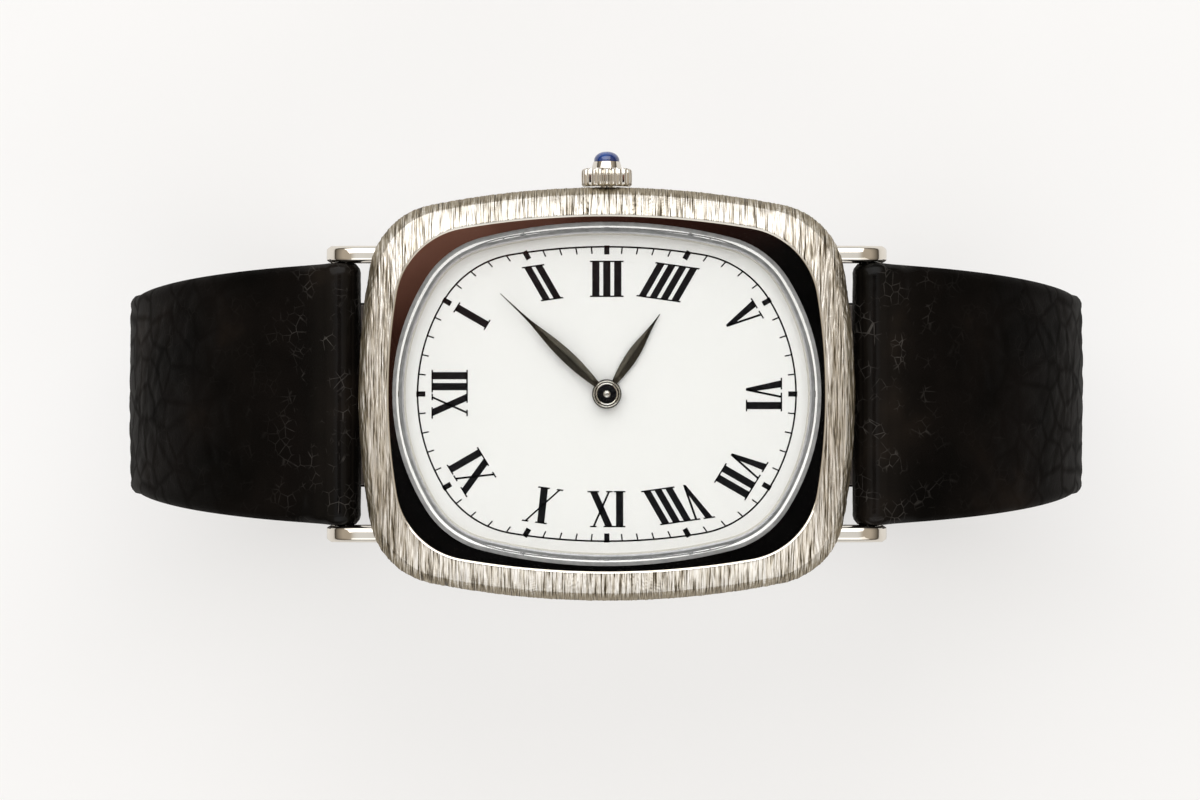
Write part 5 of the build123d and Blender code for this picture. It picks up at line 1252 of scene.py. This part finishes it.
def keeper(name, middle_x, body, node):
    """A leather loop with rounded edges and a pressed groove along each."""
    stations = []
    for k in range(KEEPER_STATIONS):
        y, z, ny, nz = loop_place(k / KEEPER_STATIONS)
        ring = []
        for turn in turns(KEEPER_POINTS):
            across = KEEPER_WIDE / 2 * rounded(math.cos(turn), KEEPER_SIDE_POWER)
            out = KEEPER_THICK / 2 * rounded(math.sin(turn), KEEPER_FACE_POWER)
            if math.sin(turn) > 0:
                edge = KEEPER_WIDE / 2 - abs(across)
                out -= GROOVE_DEPTH * math.exp(-(((edge - GROOVE_PLACE) / GROOVE_WIDTH) ** 2))
                out += GRAIN_DEPTH * (noise.noise(Vector((across + middle_x, y, z))) - 1)
            ring.append((middle_x + across, y + ny * out, z + nz * out))
        stations.append(ring)
    dress(ring_piece(name, stations, smooth_angle=50), black_leather, body, node)


keeper("keeper_sewn", SEWN_X, "case", "fixed_keeper")
keeper("keeper_sliding", SLIDING_X, "floating_keeper", "floating_keeper")

# %% [markdown]
# ## Buckle
# The cast pin buckle is polished like the case, so its frame and its tongue are softened in the same way.

# %% Frame and tongue
softened("buckle_frame", "buckle_frame_polished", polished_gold, "case",
         width=0.12, segments=3)
softened("buckle_tongue", "buckle_tongue_polished", polished_gold, "buckle_tongue",
         width=0.1, segments=3)

# %% [markdown]
# ## Finishes of the movement
# The movement is hidden under the back, but it is all there. Bridges are brass plated with rhodium and
# ground with straight stripes. The main plate is grained in small overlapping circles. Wheels are gilt
# brass with a circular grain, steel parts are blued or polished, and the bearings are ruby. A translucent
# seal holds the crystal.

# %% Metals, ruby and seal
STRIPE, STRIPE_REPEAT = 1.0, 20
CIRCLE = 0.7


def metal(name, dark, light, size, rough, strength=0.2):
    """A metal with a fine random grain: its width, length and height in millimetres, and its gloss."""
    return grained(name, (size, 3.0), ((0.32, dark), (0.68, light)), rough, (strength, 0.01), Metallic=1.0)


def stripes(material):
    """Straight stripes across the bridges."""
    wave = add(material, "ShaderNodeTexWave", {"Vector": coordinates(material)}, Distortion=0.0,
               Scale=per_metre(STRIPE) / STRIPE_REPEAT, wave_profile="SAW", bands_direction="DIAGONAL")
    return wave.outputs["Fac"]


def circles(material):
    """Small circles side by side on the main plate."""
    cells = add(material, "ShaderNodeTexVoronoi", {"Vector": coordinates(material)}, Scale=per_metre(CIRCLE),
                Randomness=0.1)
    return cells.outputs["Distance"]


gilt_brass = metal("gilt_brass_circular_grain", "#B58A3E", "#E2BE72", (0.08, 0.08, 0.3), (0.18, 0.34))
polished_steel = metal("hardened_steel_polished", "#A9ABAE", "#D4D6D8", (0.06, 0.6, 0.06), (0.08, 0.2), 0.1)
blued_steel = metal("blued_spring_steel", "#1A2C66", "#35509C", (0.05, 0.05, 0.4), (0.12, 0.28), 0.1)
rhodium_matt = metal("rhodium_plate_matt", "#B9BABB", "#DCDDDE", (0.05, 0.05, 0.05), (0.3, 0.48))
ring_gold = metal("white_gold_turned", "#CBC6BC", "#E9E5DD", (0.1, 0.1, 0.03), (0.1, 0.22), 0.1)
striped_rhodium = grained("rhodium_plate_striped", stripes, ((0.0, "#A4A6A8"), (1.0, "#E2E3E4")),
                          (0.18, 0.36), (0.3, 0.02), Metallic=1.0)
pearled_rhodium = grained("rhodium_plate_pearled", circles, ((0.1, "#DADBDC"), (0.6, "#A9ABAD")),
                          (0.2, 0.4), Metallic=1.0)
synthetic_ruby = grained("synthetic_ruby", (0.4, 2.0), ((0.3, "#8E0C2C"), (0.7, "#C51A45")), Roughness=0.05,
                         IOR=1.76, Coat_Weight=0.5)
seal_clear = grained("moulded_translucent_seal", (0.5, 3.0), ((0.3, "#A9A9A8"), (0.7, "#CBCBC9")), (0.3, 0.5))

# %% [markdown]
# ## Dress the solids that stay
# Every solid that is still shown gets its finish in all of its material slots.

# %% Give each solid its finish
FINISHES = (
    (crystal_clear, "crystal"),
    (seal_clear, "crystal_gasket"),
    (ring_gold, "dial_flange crown_tube"),
    (dial_white, "dial"),
    (rhodium_matt, "movement_ring"),
    (pearled_rhodium, "main_plate"),
    (striped_rhodium, "barrel_bridge train_bridge balance_cock pallet_bridge"),
    (synthetic_ruby, "jewels"),
    (blued_steel, "movement_screws hairspring"),
    (gilt_brass, "barrel_drum barrel_cover centre_wheel third_wheel fourth_wheel balance_wheel minute_wheel "
                 "hour_wheel"),
    (polished_steel, "case_clamps mainspring barrel_arbor ratchet_wheel ratchet_click crown_wheel "
                     "escape_wheel pallet_fork balance_staff cannon_pinion setting_wheel winding_stem "
                     "winding_pinion sliding_pinion setting_lever yoke spring_bars "
                     "spring_bar_tip_6_crown_side spring_bar_tip_6_plain_side "
                     "spring_bar_tip_12_crown_side spring_bar_tip_12_plain_side"),
    (polished_gold, "buckle_bar"),
)
for finish, nodes in FINISHES:
    for node in nodes.split():
        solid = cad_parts[node]
        if len(solid.data.materials) == 0:
            solid.data.materials.append(finish)
        for slot in solid.material_slots:
            slot.material = finish
print("finishes given", len(FINISHES))

# %% [markdown]
# ## Floor, lamps and camera
# The watch stands on a plain pale floor. The world is a soft studio: pale above, in front and behind, with
# warmer walls at both sides, so metal has something to reflect. One large lamp at the back gives the shapes
# their shade, and a weak one in front lights the bezel's near side. A dark card above the camera is what
# the flat mirror ring and the crystal reflect, as in a studio.

# %% Floor and card
FLOOR_Z, FLOOR_SIDE, FLOOR_GLOW = -41.175, 4.0, 0.5
CARD_HEIGHT, CARD_LENGTH, CARD_WIDTH = 262, 90, 76.5


def stage_plane(name, size, height, stretch, finish):
    """A plane at a height in millimetres that belongs to the studio and not to the watch."""
    deselect()
    bpy.ops.mesh.primitive_plane_add(size=size, location=(0, 0, height * MM))
    plane = bpy.context.object
    plane.scale = (1.0, stretch, 1.0)
    bpy.ops.object.transform_apply(location=True, rotation=True, scale=True)
    plane.name = name
    plane.data.materials.append(finish)
    return plane


floor_pale = grained("painted_studio_floor", (30.0, 2.0), ((0.3, "#EBEBEB"), (0.7, "#EFEFEF")), Roughness=0.8)
paint = principled(floor_pale).outputs[0]
glow = add(floor_pale, "ShaderNodeEmission", Color=linear("#FFFFFF"), Strength=1.0).outputs[0]
seen = add(floor_pale, "ShaderNodeLightPath").outputs["Is Camera Ray"]
lit = maths(floor_pale, "MULTIPLY", seen, FLOOR_GLOW)
both = add(floor_pale, "ShaderNodeMixShader", {0: lit, 1: paint, 2: glow})
surface(floor_pale, both.outputs[0])
floor = stage_plane("studio_floor", FLOOR_SIDE, FLOOR_Z, 1.0, floor_pale)

card_dark = new_material("velvet_card", Roughness=0.9, Specular_IOR_Level=0.0)
axes = add(card_dark, "ShaderNodeSeparateXYZ", {"Vector": coordinates(card_dark)})
corner = maths(card_dark, "SUBTRACT", maths(card_dark, "MULTIPLY", axes.outputs["Y"], 2.0), axes.outputs["X"])
shift = band(card_dark, corner, (0.015, 0.08), (0.0, 1.0))
colour(card_dark, ramp(card_dark, shift, ((0.0, "#060607"), (0.45, "#3A201A"), (1.0, "#9A6F62"))))
card = stage_plane("studio_card", CARD_LENGTH * MM, CARD_HEIGHT, CARD_WIDTH / CARD_LENGTH, card_dark)
card.visible_camera = False
card.visible_shadow = False
card.visible_diffuse = False
print("floor and card placed")

# %% World and lamps
WORLD_STRENGTH = 0.95
LAMPS = (("studio_lamp", (-0.05, 0.36, 0.45), (0.8, 0.6), 2.6),
         ("studio_fill", (0.08, -0.42, 0.4), (0.7, 0.45), 0.75))

world = bpy.data.worlds.new("studio")
bpy.context.scene.world = world
world.use_nodes = True
direction = add(world, "ShaderNodeTexCoord").outputs["Generated"]
axes = add(world, "ShaderNodeSeparateXYZ", {0: direction})
sky = ramp(world, axes.outputs["Z"], ((0.0, "#5C5A58"), (0.6, "#FFFFFF")))
sideways = add(world, "ShaderNodeMath", {0: axes.outputs["X"]}, operation="ABSOLUTE").outputs[0]
walls = ramp(world, sideways, ((0.1, "#FFFFFF"), (0.5, "#C6BAAA")))
background = world.node_tree.nodes["Background"]
plug(world, multiplied(world, sky, walls, 1.0), background.inputs["Color"])
background.inputs["Strength"].default_value = WORLD_STRENGTH

for name, place, size, watts in LAMPS:
    deselect()
    bpy.ops.object.light_add(type="AREA", location=place)
    lamp = bpy.context.object
    lamp.name = name
    lamp.data.shape = "RECTANGLE"
    lamp.data.size, lamp.data.size_y = size
    lamp.data.energy = watts
    lamp.rotation_euler = (-Vector(place)).to_track_quat("-Z", "Y").to_euler()
    print("lamp", name, watts, "W")

# %% Camera
CAMERA_PLACE = (-0.44, -0.39, 254)
CAMERA_LENS, CAMERA_SENSOR, CAMERA_NEAR = 115.5, 36.0, 10

deselect()
bpy.ops.object.camera_add(location=[value * MM for value in CAMERA_PLACE], rotation=(0, 0, 0))
camera = bpy.context.object
camera.name = "photo_camera"
camera.data.lens = CAMERA_LENS
camera.data.sensor_width = CAMERA_SENSOR
camera.data.clip_start = CAMERA_NEAR * MM
bpy.context.scene.camera = camera
bpy.context.scene.view_settings.view_transform = "Standard"
print("camera at", CAMERA_PLACE, "mm")
